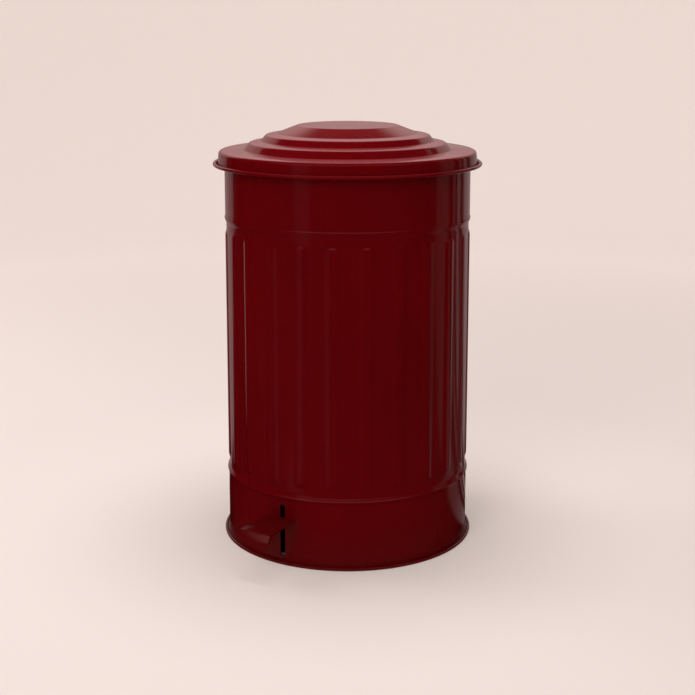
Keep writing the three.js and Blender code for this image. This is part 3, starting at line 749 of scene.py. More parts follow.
def wall_rows(sizes):
    """The wall's rows from foot to rim, as (how far out of the plain band, height)."""
    panel_low = sizes.lower_bead + sizes.bead_half
    panel_high = sizes.upper_bead - sizes.bead_half
    step = 2.4 * MM  # height of the slope between a bead and the panel
    rib_low = sizes.lower_bead + sizes.rib_gap
    rib_high = sizes.upper_bead - sizes.rib_gap
    end = sizes.rib_crown + sizes.rib_flank + 1 * MM
    fine, plain = 11, 6  # spans over a rib's end, and between its two ends
    sunk = -sizes.panel_depth
    low_end = [(sunk, rib_low + end * k / fine) for k in range(fine + 1)]
    high_end = [(sunk, rib_high - end + end * k / fine) for k in range(fine + 1)]
    straight = rib_high - rib_low - 2 * end
    middle = [(sunk, rib_low + end + straight * k / plain) for k in range(1, plain)]
    roll = sizes.rim_roll - sizes.sheet
    curl = arc(roll, SHELL_HIGH.z - sizes.rim_roll, roll, 180, -70, 9)
    return [
        (0, SHELL_LOW.z), (0, SHELL_LOW.z + 30 * MM), (0, sizes.lower_bead - 8 * MM),
        *bead_rows(sizes.lower_bead, sizes.bead_half, sizes.lower_rise),
        (sunk * 0.5, panel_low + step / 2), (sunk, panel_low + step),
        *low_end, *middle, *high_end,
        (sunk, panel_high - step), (sunk * 0.5, panel_high - step / 2),
        *bead_rows(sizes.upper_bead, sizes.bead_half, sizes.upper_rise),
        (0, sizes.upper_bead + 9 * MM), (0, SHELL_HIGH.z - 12 * MM), (0, SHELL_HIGH.z - 2 * sizes.rim_roll),
        *curl,
    ]


def flat_tile(sizes):
    """One rib's share of the wall as a flat sheet that faces -Y, with the rib pressed out of it."""
    width = 2 * math.pi * WALL / sizes.rib_count
    rows = wall_rows(sizes)
    (_, low), (_, high), *rest = rows
    offset = (sizes.first_rib / (2 * math.pi) * sizes.rib_count - sizes.rib_count / 2) * width
    deselect()
    bpy.ops.mesh.primitive_grid_add(
        x_subdivisions=24, y_subdivisions=1, size=1,
        location=(offset, 0, (low + high) / 2), rotation=(math.pi / 2, 0, 0),
    )
    tile = sized(added("body_shell_visual"), (width, high - low, 1))
    out, height = 0, high
    with editing(tile):
        pick_edges(tile, lambda co: co.z > (low + high) / 2)
        for to_out, to_height in rest:
            extrude(0, out - to_out, to_height - height)
            out, height = to_out, to_height
        spine = sizes.rib_gap + sizes.rib_crown + sizes.rib_flank - 0.1 * MM
        spine_low, spine_high = sizes.lower_bead + spine, sizes.upper_bead - spine
        pick(tile, lambda co: abs(co.x - offset) <= sizes.rib_crown and spine_low <= co.z <= spine_high)
        bpy.ops.transform.translate(
            value=(0, -sizes.rib_rise, 0), use_proportional_edit=True,
            proportional_edit_falloff="SMOOTH", proportional_size=sizes.rib_flank,
        )
    return tile


def lever_slot(sizes):
    """A cutter with round ends for the lever's slot."""
    half = sizes.slot_width / 2
    front, back = -WALL - 8 * MM, -WALL + 8 * MM
    tool = block("slot_tool", (-half, front, sizes.slot_low + half), (half, back, sizes.slot_high - half))
    ends = [
        bar("slot_end", half, (0, front, z), (0, back, z), 24)
        for z in (sizes.slot_low + half, sizes.slot_high - half)
    ]
    return join(tool, *ends)


class CAN_OT_body(Operator):
    """Press the ribs and beads into a flat sheet, roll it round and turn over its rim"""

    bl_idname = "waste_can.body"
    bl_label = "Body shell"

    def execute(self, context):
        sizes = context.scene.can_sizes
        wall = flat_tile(sizes)
        modify(
            wall, "ARRAY", count=sizes.rib_count, use_merge_vertices=True, merge_threshold=WELD,
            use_relative_offset=True, relative_offset_displace=(1, 0, 0),
        )
        modify(wall, "SIMPLE_DEFORM", deform_method="BEND", deform_axis="Z", angle=2 * math.pi)
        close_seams(wall, 2 * TOUCH)
        with editing(wall):
            bpy.ops.mesh.select_all(action="SELECT")
            bpy.ops.transform.translate(value=(0, -WALL, 0))
        outward(face_away(wall), sizes.sheet)
        cut(wall, lever_slot(sizes))
        smooth(wall)
        done(wall, "crimson_lacquer", "can", "body_shell")
        return {"FINISHED"}


class CAN_OT_foot_ring(Operator):
    """Roll the wired edge that the can stands on"""

    bl_idname = "waste_can.foot_ring"
    bl_label = "Foot ring"

    def execute(self, context):
        sizes = context.scene.can_sizes
        roll = sizes.foot_roll
        middle = RING_HIGH.x - roll
        leg = WALL - sizes.sheet - FIT
        line = [
            (leg - sizes.sheet, 0),
            *arc(middle, roll, roll, -90, 196, 18),
            (WALL + 0.6 * MM, sizes.sheet), (leg, sizes.sheet), (leg, 4 * MM), (leg - sizes.sheet, 4 * MM),
            (leg - sizes.sheet, 0),
        ]
        ring = smooth(turned("foot_ring_visual", line, 192, closed=True))
        done(ring, "crimson_lacquer", "can", "foot_ring")
        return {"FINISHED"}


class CAN_OT_floors(Operator):
    """Press the base pan and the raised inner floor"""

    bl_idname = "waste_can.floors"
    bl_label = "Base pan and inner floor"

    def execute(self, context):
        sheet = context.scene.can_sizes.sheet
        edge = PAN_HIGH.x
        corners = [
            (60 * MM, 0, 0), (120 * MM, 0, 4 * MM), (126 * MM, 5 * MM, 4 * MM),
            (edge - 3 * MM, 5 * MM, 3 * MM), (edge, 8.2 * MM, 2 * MM), (edge, PAN_HIGH.z, 0),
        ]
        pan = turned("base_pan_visual", rounded(corners), 160, shut_start=True)
        modify(pan, "SOLIDIFY", thickness=sheet, offset=-1)
        smooth(close_seams(pan))
        done(pan, "zinc_plate", "can", "base_pan")

        # A shallow groove stiffens the floor.
        top, edge, groove = FLOOR_HIGH.z, FLOOR_HIGH.x, FLOOR_HIGH.z - 1.2 * MM
        corners = [
            (30 * MM, top, 0), (100 * MM, top, 3 * MM), (103 * MM, groove, 3 * MM),
            (112 * MM, groove, 3 * MM), (115 * MM, top, 3 * MM), (edge, top, 2 * MM), (edge, FLOOR_LOW.z, 0),
        ]
        floor = turned("inner_floor_visual", rounded(corners), 160, shut_start=True)
        outward(floor, 1.3 * MM)
        cut(floor, bar("hole", 3.9 * MM, (0, ROD.y, top - 20 * MM), (0, ROD.y, top + 10 * MM)))
        smooth(floor)
        done(floor, "zinc_plate", "can", "inner_floor")
        return {"FINISHED"}


# ---------------------------------------------------------------- lid


def lid_line(sizes, sheet):
    """The lid's outer face from its top disc to the end of its rolled edge."""
    z = LID_HIGH.z
    corners = [(20 * MM, z, 0), (sizes.disc, z, 2.2 * MM)]
    steps = [
        (sizes.cone, sizes.cone_drop, 4 * MM),
        (sizes.upper_ring, sizes.upper_fall, 4 * MM),
        (sizes.upper_riser, sizes.riser_drop, 3 * MM),
        (sizes.lower_ring, sizes.lower_fall, 4 * MM),
        (sizes.lower_riser, sizes.lower_drop, 3 * MM),
        (WALL + sizes.skirt_top, sizes.brim_fall, 3.4 * MM),
    ]
    for radius, drop, fillet in steps:
        z -= drop
        corners.append((radius, z, fillet))
    foot = WALL + sizes.skirt_foot
    flange = LID_LOW.z + sizes.roll + 0.2 * MM
    roll = LID_HIGH.x - sizes.roll
    # The flange runs out from the skirt and rolls up, over and back under itself.
    inner = sizes.roll - sheet
    corners += [(foot, flange - inner, 1.4 * MM), (roll - 1.2 * MM, flange - inner - 0.35 * MM, 0)]
    return rounded(corners) + arc(roll, flange - 0.2 * MM, inner, -95, 160, 10)


class CAN_OT_lid(Operator):
    """Press the stepped lid and roll its edge"""

    bl_idname = "waste_can.lid"
    bl_label = "Lid"

    def execute(self, context):
        sheet = context.scene.can_sizes.sheet
        lid = turned("lid_shell_visual", lid_line(context.scene.lid_sizes, sheet), 192, shut_start=True)
        outward(lid, sheet)
        smooth(close_seams(lid))
        # How far each point faces up, read by the lid lacquer's painted top light.
        upward = lid.data.attributes.new("upward", "FLOAT", "POINT")
        upward.data.foreach_set("value", [vertex.normal.z for vertex in lid.data.vertices])
        done(lid, "top_lit_lid_lacquer", "lid", "lid_shell")
        return {"FINISHED"}


# ---------------------------------------------------------------- pedal


class CAN_OT_pedal(Operator):
    """Fold the tread and cut the lever, two pieces on the pedal's body"""

    bl_idname = "waste_can.pedal"
    bl_label = "Pedal"

    def execute(self, context):
        sizes = context.scene.pedal_sizes
        half = TREAD_HIGH.x
        bend = TREAD_LOW.y + sizes.lip_reach
        deselect()
        bpy.ops.mesh.primitive_plane_add(size=1, location=(0, (TREAD_HIGH.y + bend) / 2, TREAD_HIGH.z))
        tread = sized(added("pedal_tread_visual"), (2 * half, TREAD_HIGH.y - bend, 1))
        with editing(tread):
            pick_edges(tread, lambda co: co.y < bend + TOUCH)
            extrude(0, -sizes.lip_reach, -sizes.lip_drop)
            pick_edges(tread, lambda co: abs(co.y - bend) < TOUCH)
            bpy.ops.mesh.bevel(offset=1.1 * MM, segments=5, affect="EDGES")
            face_outward()
            near = 0.2 * MM
            pick(tread, lambda co: abs(abs(co.x) - half) < TOUCH and co.y < TREAD_LOW.y + near)
            bpy.ops.mesh.bevel(offset=1 * MM, segments=4, affect="VERTICES")
            pick(tread, lambda co: abs(abs(co.x) - half) < TOUCH and co.y > TREAD_HIGH.y - near)
            bpy.ops.mesh.bevel(offset=2 * MM, segments=4, affect="VERTICES")
        outward(tread, sizes.tread_sheet)
        round_edges(tread, 0.35 * MM, 3)
        smooth(tread)
        done(tread, "shaded_pedal_lacquer", "pedal", "pedal_tread")

        lever = self.lever(sizes)
        done(lever, "shaded_pedal_lacquer", "pedal", "pedal_lever")
        return {"FINISHED"}

    def lever(self, sizes):
        """A flat strip on edge, drawn from station to station, with its rear tab and its pivot hole."""
        tip, end = LEVER_LOW.y, LEVER_HIGH.y
        top = LEVER_HIGH.z
        tab = LEVER_LOW.z + 6 * MM
        stations = [  # (y, top, foot)
            (tip, top, top - 6 * MM),
            (-WALL + 7 * MM, top, top - sizes.lever_depth),
            (PEDAL_AXIS.y, PEDAL_AXIS.z + 7 * MM, PEDAL_AXIS.z - 7 * MM),
            (end - 13 * MM, tab + 1.7 * MM, LEVER_LOW.z),
            (end, tab - 0.2 * MM, LEVER_LOW.z),
        ]
        y, high, low = stations[0]
        first = 1 * MM  # the plane that the lever is drawn out of, half of it on each side of the tip
        upright = (0, math.pi / 2, 0)
        deselect()
        bpy.ops.mesh.primitive_plane_add(size=1, location=(0, y, (high + low) / 2), rotation=upright)
        lever = sized(added("pedal_lever_visual"), (high - low, first, 1))
        with editing(lever):
            pick_edges(lever, lambda co: co.y > y)
            y += first / 2
            for to_y, to_high, to_low in stations[1:]:
                middle, to_middle = (high + low) / 2, (to_high + to_low) / 2
                extrude(0, to_y - y, to_middle - middle)
                resize((1, 1, (to_high - to_low) / (high - low)), (0, to_y, to_middle))
                y, high, low = to_y, to_high, to_low
            pick(lever, lambda co: co.y < tip)
            bpy.ops.transform.translate(value=(0, first / 2, 0))
            face_outward()
        modify(lever, "SOLIDIFY", thickness=sizes.lever_sheet, offset=0)
        join(lever, block("tab", (-6 * MM, end - 10 * MM, tab - 1.8 * MM), (6 * MM, end, tab)))
        cut(lever, cross_bar("bore", 2.8 * MM, 20 * MM, PEDAL_AXIS))
        return smooth(round_edges(lever, 0.3 * MM, 2))


# ---------------------------------------------------------------- hinge


def behind(angle, radius, height):
    """A point at an angle from the hinge's side, at a radius from the can's axis."""
    return Vector((radius * math.sin(angle), radius * math.cos(angle), height))


def run(edge):
    """From an edge's first end to its second."""
    return edge.verts[1].co - edge.verts[0].co


def curved_strap(name, inner, thickness, half_width, low, high, corner):
    """A strap that follows the wall behind the can, with round corners."""
    ring = [(inner, low), (inner + thickness, low), (inner + thickness, high), (inner, high), (inner, low)]
    strap = turned(name, ring, 384, closed=True)
    spare = 0 if corner else 1 * MM
    window = block("window", (-half_width, 0.5 * inner, low - spare), (half_width, 1.5 * inner, high + spare))
    if corner:
        with editing(window):
            select(window, "EDGE", lambda edge: abs(run(edge).y) > half_width)
            bpy.ops.mesh.bevel(offset=corner, segments=5, affect="EDGES")
    return cut(strap, window, operation="INTERSECT")


def rivet(name, place, outer, shank, head):
    """A domed rivet that points away from the can's axis, from a set tail to a round head."""
    angle = math.atan2(place.x, place.y)
    start = outer - 5.2 * MM
    tail, dome = 0.9 * MM, 1.5 * MM
    hat = outer - start
    set_tail = head * 0.8
    line = [
        (head * 0.62, 0), (set_tail, 0.3 * MM), (set_tail, tail), (shank, tail), (shank, hat), (head, hat),
        *[(head * math.cos(a), hat + 0.25 * MM + dome * math.sin(a)) for a in (0, 0.3, 0.6, 0.9, 1.15, 1.35)],
    ]
    return spun(name + "_visual", line, behind(angle, start, place.z), behind(angle, 1, place.z), 28)


def rivet_row(names, outer, shank, head, body):
    for name in names:
        piece = rivet(name, centre(name), outer, shank, head)
        done(piece, "bright_steel", body, name)


class CAN_OT_hinge(Operator):
    """Make the hinge bracket with its rolled knuckles, the pin with its clip, and the rivets"""

    bl_idname = "waste_can.hinge"
    bl_label = "Hinge"

    def execute(self, context):
        sizes = context.scene.hinge_sizes
        half, axis = BRACKET_HIGH.x, LID_AXIS
        inner = WALL + FIT
        shelf = axis.z - 6.5 * MM
        strap = curved_strap("hinge_bracket_visual", inner, sizes.sheet, half, BRACKET_LOW.z, shelf, 0)
        leg = axis.y + sizes.sheet
        join(
            strap,
            block("shelf", (-half, inner + 0.5 * MM, shelf - sizes.sheet), (half, leg, shelf)),
            block("leg", (-half, axis.y - sizes.sheet, shelf - sizes.sheet), (half, leg, axis.z - 3 * MM)),
            cross_bar("knuckle", sizes.knuckle, half, axis, 40),
        )
        gap = sizes.leaf_half + FIT
        corner = 8 * MM
        cut(
            strap,
            block("middle", (-gap, axis.y - corner, shelf), (gap, axis.y + corner, axis.z + corner)),
            cross_bar("bore", sizes.pin + FIT, half + corner, axis),
            bar("wall", inner, (0, 0, BRACKET_LOW.z - corner), (0, 0, axis.z), 384),
        )
        smooth(round_edges(strap, 0.25 * MM, 2), 35)
        done(strap, "crimson_lacquer", "can", "hinge_bracket")

        head, head_tall, tall = sizes.pin + 1.6 * MM, 1.4 * MM, 2 * half + 6 * MM
        line = [
            (head - 0.7 * MM, 0), (head, 0.5 * MM), (head, head_tall), (sizes.pin, head_tall),
            (sizes.pin, tall - 0.5 * MM), (sizes.pin - 0.5 * MM, tall),
        ]
        low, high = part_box("hinge_pin")
        pin = spun("hinge_pin_visual", line, (low.x, axis.y, axis.z), (high.x, axis.y, axis.z))
        done(pin, "bright_steel", "can", "hinge_pin")
        self.clip(sizes)
        rivets = [f"hinge_rivet_{i}" for i in (1, 2, 3, 4)]
        rivet_row(rivets, inner + sizes.sheet + FIT, 2 * MM, 3.8 * MM, "can")
        return {"FINISHED"}

    def clip(self, sizes):
        """A push-on washer with a turned-up edge."""
        low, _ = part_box("hinge_pin_clip")
        bore, rim = sizes.pin + FIT, sizes.pin + 2.5 * MM
        line = [
            (bore, 0), (rim, 0), (rim, 0.5 * MM), (rim - 0.8 * MM, 0.8 * MM), (rim - 1.3 * MM, 1.4 * MM),
            (bore, 1.4 * MM), (bore, 0),
        ]
        start = Vector((low.x, LID_AXIS.y, LID_AXIS.z))
        washer = spun("hinge_pin_clip_visual", line, start, start + Vector((1, 0, 0)), 40, closed=True)
        done(washer, "bright_steel", "can", "hinge_pin_clip")


class CAN_OT_lid_fittings(Operator):
    """Make the lid's leaf and its rivets, the cam that the rod pushes, and the bumpers"""

    bl_idname = "waste_can.lid_fittings"
    bl_label = "Lid fittings"

    def execute(self, context):
        self.leaf(context.scene.hinge_sizes, context.scene.lid_sizes)
        self.cam()
        for name in ("bumper_front", "bumper_left", "bumper_right"):
            self.bumper(name)
        return {"FINISHED"}

    def leaf(self, sizes, lid):
        """A tab that follows the skirt, a shelf and a knuckle."""
        axis, half = LID_AXIS, sizes.leaf_half
        lean = (lid.skirt_foot - lid.skirt_top) / (lid.skirt - 3 * MM)
        foot = max(LEAF_LOW.z, axis.z + 3.3 * MM)

        def skirt(z):
            return WALL + lid.skirt_foot - lean * (z - axis.z - 1 * MM) + FIT

        top, sheet = LEAF_HIGH.z, 1.4 * MM
        line = [
            (skirt(foot), foot), (skirt(foot) + sheet, foot), (skirt(top) + sheet, top), (skirt(top), top),
            (skirt(foot), foot),
        ]
        tab = turned("lid_leaf_visual", line, 384, closed=True)
        window = block("window", (-half, 100 * MM, foot - 1 * MM), (half, 300 * MM, top + 1 * MM))
        cut(tab, window, operation="INTERSECT")
        knuckle = axis.z + sizes.knuckle
        join(
            tab,
            block("shelf", (-half, skirt(foot) + 0.5 * MM, knuckle - sheet), (half, axis.y, foot + 0.6 * MM)),
            cross_bar("knuckle", sizes.knuckle, half, axis, 40),
        )
        cut(tab, cross_bar("bore", sizes.pin + FIT, 40 * MM, axis))
        smooth(round_edges(tab, 0.25 * MM, 2), 35)
        done(tab, "crimson_lacquer", "lid", "lid_leaf")
        head = skirt(centre("leaf_rivet_1").z) + sheet + 0.4 * MM
        rivet_row(("leaf_rivet_1", "leaf_rivet_2"), head, 1.5 * MM, 2.8 * MM, "lid")

    def cam(self):
        """A fin whose lower edge is the rod's involute, under a welded flange."""
        low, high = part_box("lift_cam")
        arm = LID_AXIS.y - ROD.y
        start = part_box("rod_cap")[1].z + FIT - LID_AXIS.z
        swing = math.radians(73)  # a little past the lid's travel
        steps = 24
        edge = []
        for i in range(steps + 1):
            angle = swing * i / steps
            rise = start + arm * angle
            edge.append((
                LID_AXIS.y - arm * math.cos(angle) - rise * math.sin(angle),
                LID_AXIS.z - arm * math.sin(angle) + rise * math.cos(angle),
            ))
        top = high.z - 0.6 * MM
        heel = ROD.y + 5 * MM
        half = 1.5 * MM
        deselect()
        bpy.ops.mesh.primitive_circle_add(vertices=steps + 5, radius=1 * MM, fill_type="NGON")
        fin = added("lift_cam_visual")
        tip_y, tip_z = edge[-1]
        outline = [
            (heel, top), (heel, start + LID_AXIS.z), *edge,
            (tip_y - 3 * MM, tip_z + 0.5 * MM), (tip_y - 6 * MM, top),
        ]
        with editing(fin):
            mesh = bmesh.from_edit_mesh(fin.data)
            for vertex, (y, z) in zip(mesh.verts, outline):
                vertex.co = (-half, y, z)
            bmesh.update_edit_mesh(fin.data)
            bpy.ops.mesh.select_all(action="SELECT")
            bpy.ops.mesh.extrude_region_move(TRANSFORM_OT_translate={"value": (2 * half, 0, 0)})
            face_outward()
        flange = block("flange", (low.x, low.y, high.z - 1.2 * MM), (high.x, high.y, high.z))
        join(fin, flange)
        smooth(round_edges(fin, 0.3 * MM, 2), 35)
        done(fin, "zinc_plate", "lid", "lift_cam")

    def bumper(self, name):
        low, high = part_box(name)
        middle = (low + high) / 2
        radius, tall = (high.x - low.x) / 2, high.z - low.z
        foot = 0.8 * MM
        line = [*arc(radius - foot, foot, foot, -90, 0, 5), (radius, tall - 0.5 * MM), (radius * 0.9, tall)]
        piece = spun(name + "_visual", line, (middle.x, middle.y, low.z), (middle.x, middle.y, high.z))
        done(piece, "black_rubber", "lid", name)


# ---------------------------------------------------------------- push rod


class CAN_OT_rod(Operator):
    """Make the push rod with its cap, the guide at the top and the bush in the floor"""

    bl_idname = "waste_can.rod"
    bl_label = "Push rod"

    def execute(self, context):
        low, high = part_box("push_rod")
        radius = (high.x - low.x) / 2
        tall = high.z - low.z
        ends = arc(0, radius, radius, -80, 0, 6) + arc(0, tall - radius, radius, 0, 80, 6)
        rod = spun("push_rod_visual", ends, (0, ROD.y, low.z), (0, ROD.y, high.z), 40)
        done(rod, "bright_steel", "rod", "push_rod")

        low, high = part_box("rod_cap")
        cap, bore = (high.x - low.x) / 2, radius + FIT
        tall, edge = high.z - low.z, 0.4 * MM
        line = [
            (bore, tall - 2.5 * MM), (bore, edge), (bore + 0.3 * MM, 0), (cap - edge, 0), (cap, edge),
            *arc(0, tall - cap, cap, 0, 82, 9),
        ]
        piece = spun("rod_cap_visual", line, (0, ROD.y, low.z), (0, ROD.y, high.z), 48)
        done(piece, "white_nylon", "rod", "rod_cap")
        self.bush(bore)
        self.guide(radius)
        return {"FINISHED"}

    def bush(self, bore):
        low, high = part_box("floor_bush")
        sleeve, flange, tall = bore + 0.8 * MM, (high.x - low.x) / 2, high.z - low.z
        seat, edge = tall - 1.2 * MM, 0.4 * MM
        line = [
            (bore, 0), (sleeve, 0), (sleeve, seat), (flange, seat), (flange, tall - edge),
            (flange - edge, tall), (bore + edge, tall), (bore, tall - edge), (bore, 0),
        ]
        piece = spun("floor_bush_visual", line, (0, ROD.y, low.z), (0, ROD.y, high.z), 40, closed=True)
        done(piece, "white_nylon", "can", "floor_bush")

    def guide(self, radius):
        """A strap riveted inside the wall, with a shelf that steadies the rod."""
        sheet, shelf = 1.2 * MM, GUIDE_HIGH.z
        inner = WALL - SHEET - FIT - sheet
        strap = curved_strap("rod_guide_visual", inner, sheet, GUIDE_HIGH.x, GUIDE_LOW.z, shelf, 4 * MM)
        plate = block("shelf", (-9 * MM, ROD.y - 7 * MM, shelf - sheet), (9 * MM, inner + 0.8 * MM, shelf))
        with editing(plate):
            select(plate, "EDGE", lambda edge: edge.verts[0].co.y < ROD.y and abs(run(edge).z) > sheet / 2)
            bpy.ops.mesh.bevel(offset=6 * MM, segments=8, affect="EDGES")
        join(strap, plate)
        drop = 10 * MM
        cut(strap, bar("bore", radius + 0.4 * MM, (0, ROD.y, shelf - drop), (0, ROD.y, shelf + drop), 32))
        smooth(round_edges(strap, 0.2 * MM, 2), 35)
        done(strap, "zinc_plate", "can", "rod_guide")


# ---------------------------------------------------------------- bucket


class CAN_OT_bucket(Operator):
    """Mould the inner bucket with its stepped rim, its foot and the bail's lugs"""

    bl_idname = "waste_can.bucket"
    bl_label = "Bucket"

    def execute(self, context):
        sizes = context.scene.bucket_sizes
        foot, top = BUCKET_LOW.z, BUCKET_HIGH.z
        side = sizes.rim - sizes.rim_step
        rim_foot = top - sizes.rim_depth
        base = side - sizes.taper

        def wall(z):
            return base + (side - base) * (z - foot) / (rim_foot - foot)

        steps = []
        for share in (0.3, 0.62):
            z = foot + share * (rim_foot - foot)
            steps += [(wall(z) - 0.5 * MM, z, 0.8 * MM), (wall(z) + 0.3 * MM, z + 1.2 * MM, 0.8 * MM)]
        raised = foot + 2 * MM
        corners = [
            (40 * MM, raised, 0), (base - 16 * MM, raised, 1.5 * MM), (base - 14 * MM, foot, 1.5 * MM),
            (base, foot, 5 * MM), *steps, (side - 0.2 * MM, rim_foot, 1 * MM),
            (sizes.rim - 0.1 * MM, rim_foot + 0.6 * MM, 1.2 * MM), (sizes.rim, top, 0),
        ]
        bucket = turned("inner_bucket_visual", rounded(corners, 4), 160, shut_start=True)
        outward(bucket, sizes.wall)
        low_lug, far = BAIL_AXIS.z - 8 * MM, BUCKET_HIGH.x
        for way in (-1, 1):
            near_x, far_x = sorted((way * (side - 0.7 * MM), way * far))
            lug = block("lug", (near_x, -8 * MM, low_lug), (far_x, 8 * MM, rim_foot + 0.3 * MM))
            join(bucket, round_edges(lug, 1.6 * MM, 4, 60))
            start = Vector((way * (side + 1 * MM), 0, BAIL_AXIS.z))
            cut(bucket, bar("hole", sizes.bail + FIT, start, start + Vector((way * 12 * MM, 0, 0)), 24))
        smooth(round_edges(bucket, 0.35 * MM, 2, 50))
        done(bucket, "bucket_plastic", "bucket", "inner_bucket")
        return {"FINISHED"}


class CAN_OT_bail(Operator):
    """Bend the bail's wire and mould its grip round it"""

    bl_idname = "waste_can.bail"
    bl_label = "Bail"

    def execute(self, context):
        sizes = context.scene.bucket_sizes
        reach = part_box("bail_wire")[1].x - sizes.bail
        wire = self.wire(sizes, reach)
        smooth(self.hang(wire), 40)
        done(wire, "wire_steel", "bail", "bail_wire")
        grip = self.grip(sizes, reach)
        smooth(self.hang(grip), 50)
        done(grip, "bucket_plastic", "bail", "bail_grip")
        return {"FINISHED"}

    def hang(self, piece):
        """Lets the bail down to its rest, on its pivots."""
        piece.location = (0, 0, BAIL_AXIS.z)
        piece.rotation_euler = (math.radians(15), 0, 0)
        return settle(piece)

    def wire(self, sizes, reach):
        """An arch towards the pedal's side, an elbow at each end and a pivot into each lug."""
        bend = 4 * MM
        trim = math.asin(bend / reach)
        side = reach * math.cos(trim)
        face = side - bend - bend * math.sin(trim)  # where an elbow ends
        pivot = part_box("inner_bucket")[1].x - 5.1 * MM
        piece = arch("bail_wire_visual", sizes.bail, 20, reach, trim, 96)
        with editing(piece):
            for way in (1, -1):
                end = Vector((way * side, -bend, 0))
                pick(piece, lambda co: (co - end).length < 1.2 * sizes.bail)
                corner = (way * (side - bend), -bend, 0)
                bpy.ops.mesh.spin(steps=8, angle=math.pi / 2 + trim, center=corner, axis=(0, 0, -way))
                pick(piece, lambda co: abs(co.y) < 1.05 * sizes.bail and abs(co.x - way * face) < 0.05 * MM)
                extrude(way * (pivot - face), 0, 0)
                bpy.ops.mesh.edge_face_add()
            face_outward()
        return piece

    def grip(self, sizes, reach):
        """A moulded handle with four finger rolls, drawn in to its bore at each end."""
        span, rings, rolls = 0.32, 56, 4
        end = 0.66  # a rounded end's share of the full radius
        bore = sizes.bail + 0.35 * MM
        turn = math.pi / 2 - span
        piece = arch("bail_grip_visual", sizes.grip, 32, reach, turn, rings)

        def ring_at(angle, near, scale, draw=False):
            middle = (reach * math.sin(angle), -reach * math.cos(angle), 0)
            pick(piece, lambda co: abs(math.atan2(co.x, -co.y) - angle) < near)
            if draw:
                extrude(0, 0, 0)
            resize((scale, scale, scale), middle)

        with editing(piece):
            for i in range(rings + 1):
                share = i / rings
                round_end = min(1, math.sqrt(max(0.0, 1 - abs(2 * share - 1) ** 24)) + end)
                dip = 0.5 - 0.5 * math.cos(2 * math.pi * share * rolls)
                wave = 1 - 0.1 * dip * (0.08 < share < 0.92)
                ring_at(span * (1 - 2 * share), span / rings * 0.5, wave * round_end)
            for angle in (span, -span):
                ring_at(angle, 0.01 * span / rings, bore / (sizes.grip * end), draw=True)
            face_outward()
        inner = arch("sleeve", bore, 32, reach, turn, rings)
        only(piece)
        inner.select_set(True)
        bpy.ops.object.join()
        return close_seams(piece, 5e-5)


# ---------------------------------------------------------------- stage


CAMERA_AZIMUTH = math.radians(30.86)  # turned about Z from straight in front of the pedal
CAMERA_DISTANCE = 1.614  # from the can's axis
CAMERA_HEIGHT = 0.6259
CAMERA_PITCH = math.radians(10.5)  # below level
CAMERA_LENS = 71
CAMERA_SHIFT = -0.12  # of the frame's height
TOWARD = Vector((math.sin(CAMERA_AZIMUTH), -math.cos(CAMERA_AZIMUTH), 0))  # from the can to the camera
RIGHT = Vector((math.cos(CAMERA_AZIMUTH), math.sin(CAMERA_AZIMUTH), 0))  # to the camera's right
LAMPS = (  # (name; place; diameter; watts)
    ("overhead", (0.0, 0.05, 1.25), 0.5, 6.5),
    ("front_fill", (0.3, -2.2, 1.5), 1.4, 20.0),
    ("side_key", (-1.5, -0.3, 1.2), 0.9, 8.0),
)
LAMP_AIM = Vector((0, 0, 0.2))
PAPER_GLOW = (0.895, 0.753, 0.693)  # colour of the even light that the camera sees on the paper
EVENNESS = 0.29  # share of that light, next to the lamps' own light on the paper
AIR_LIGHT = 0.61  # strength of the light from all round
AIR_IN_GLOSS = 0.02  # and its strength in reflections
ROOM_GLOW = (0.93, 0.67, 0.645)  # colour of the room in reflections
ROOM_DIM = 0.003  # the room's strength away from its soft boxes
ROOM_BOXES = (  # (degrees from straight behind, to the right; half width; soft edge; strength)
    (-2, 46, 3, 0.95),
    (57, 2, 2, 0.9),
    (66, 1.5, 1.5, 0.4),
    (84, 6, 5, 0.42),
    (-139, 5, 4, 0.25),
)
FRONT_BOX = 0.9  # strength of the long soft box above the camera


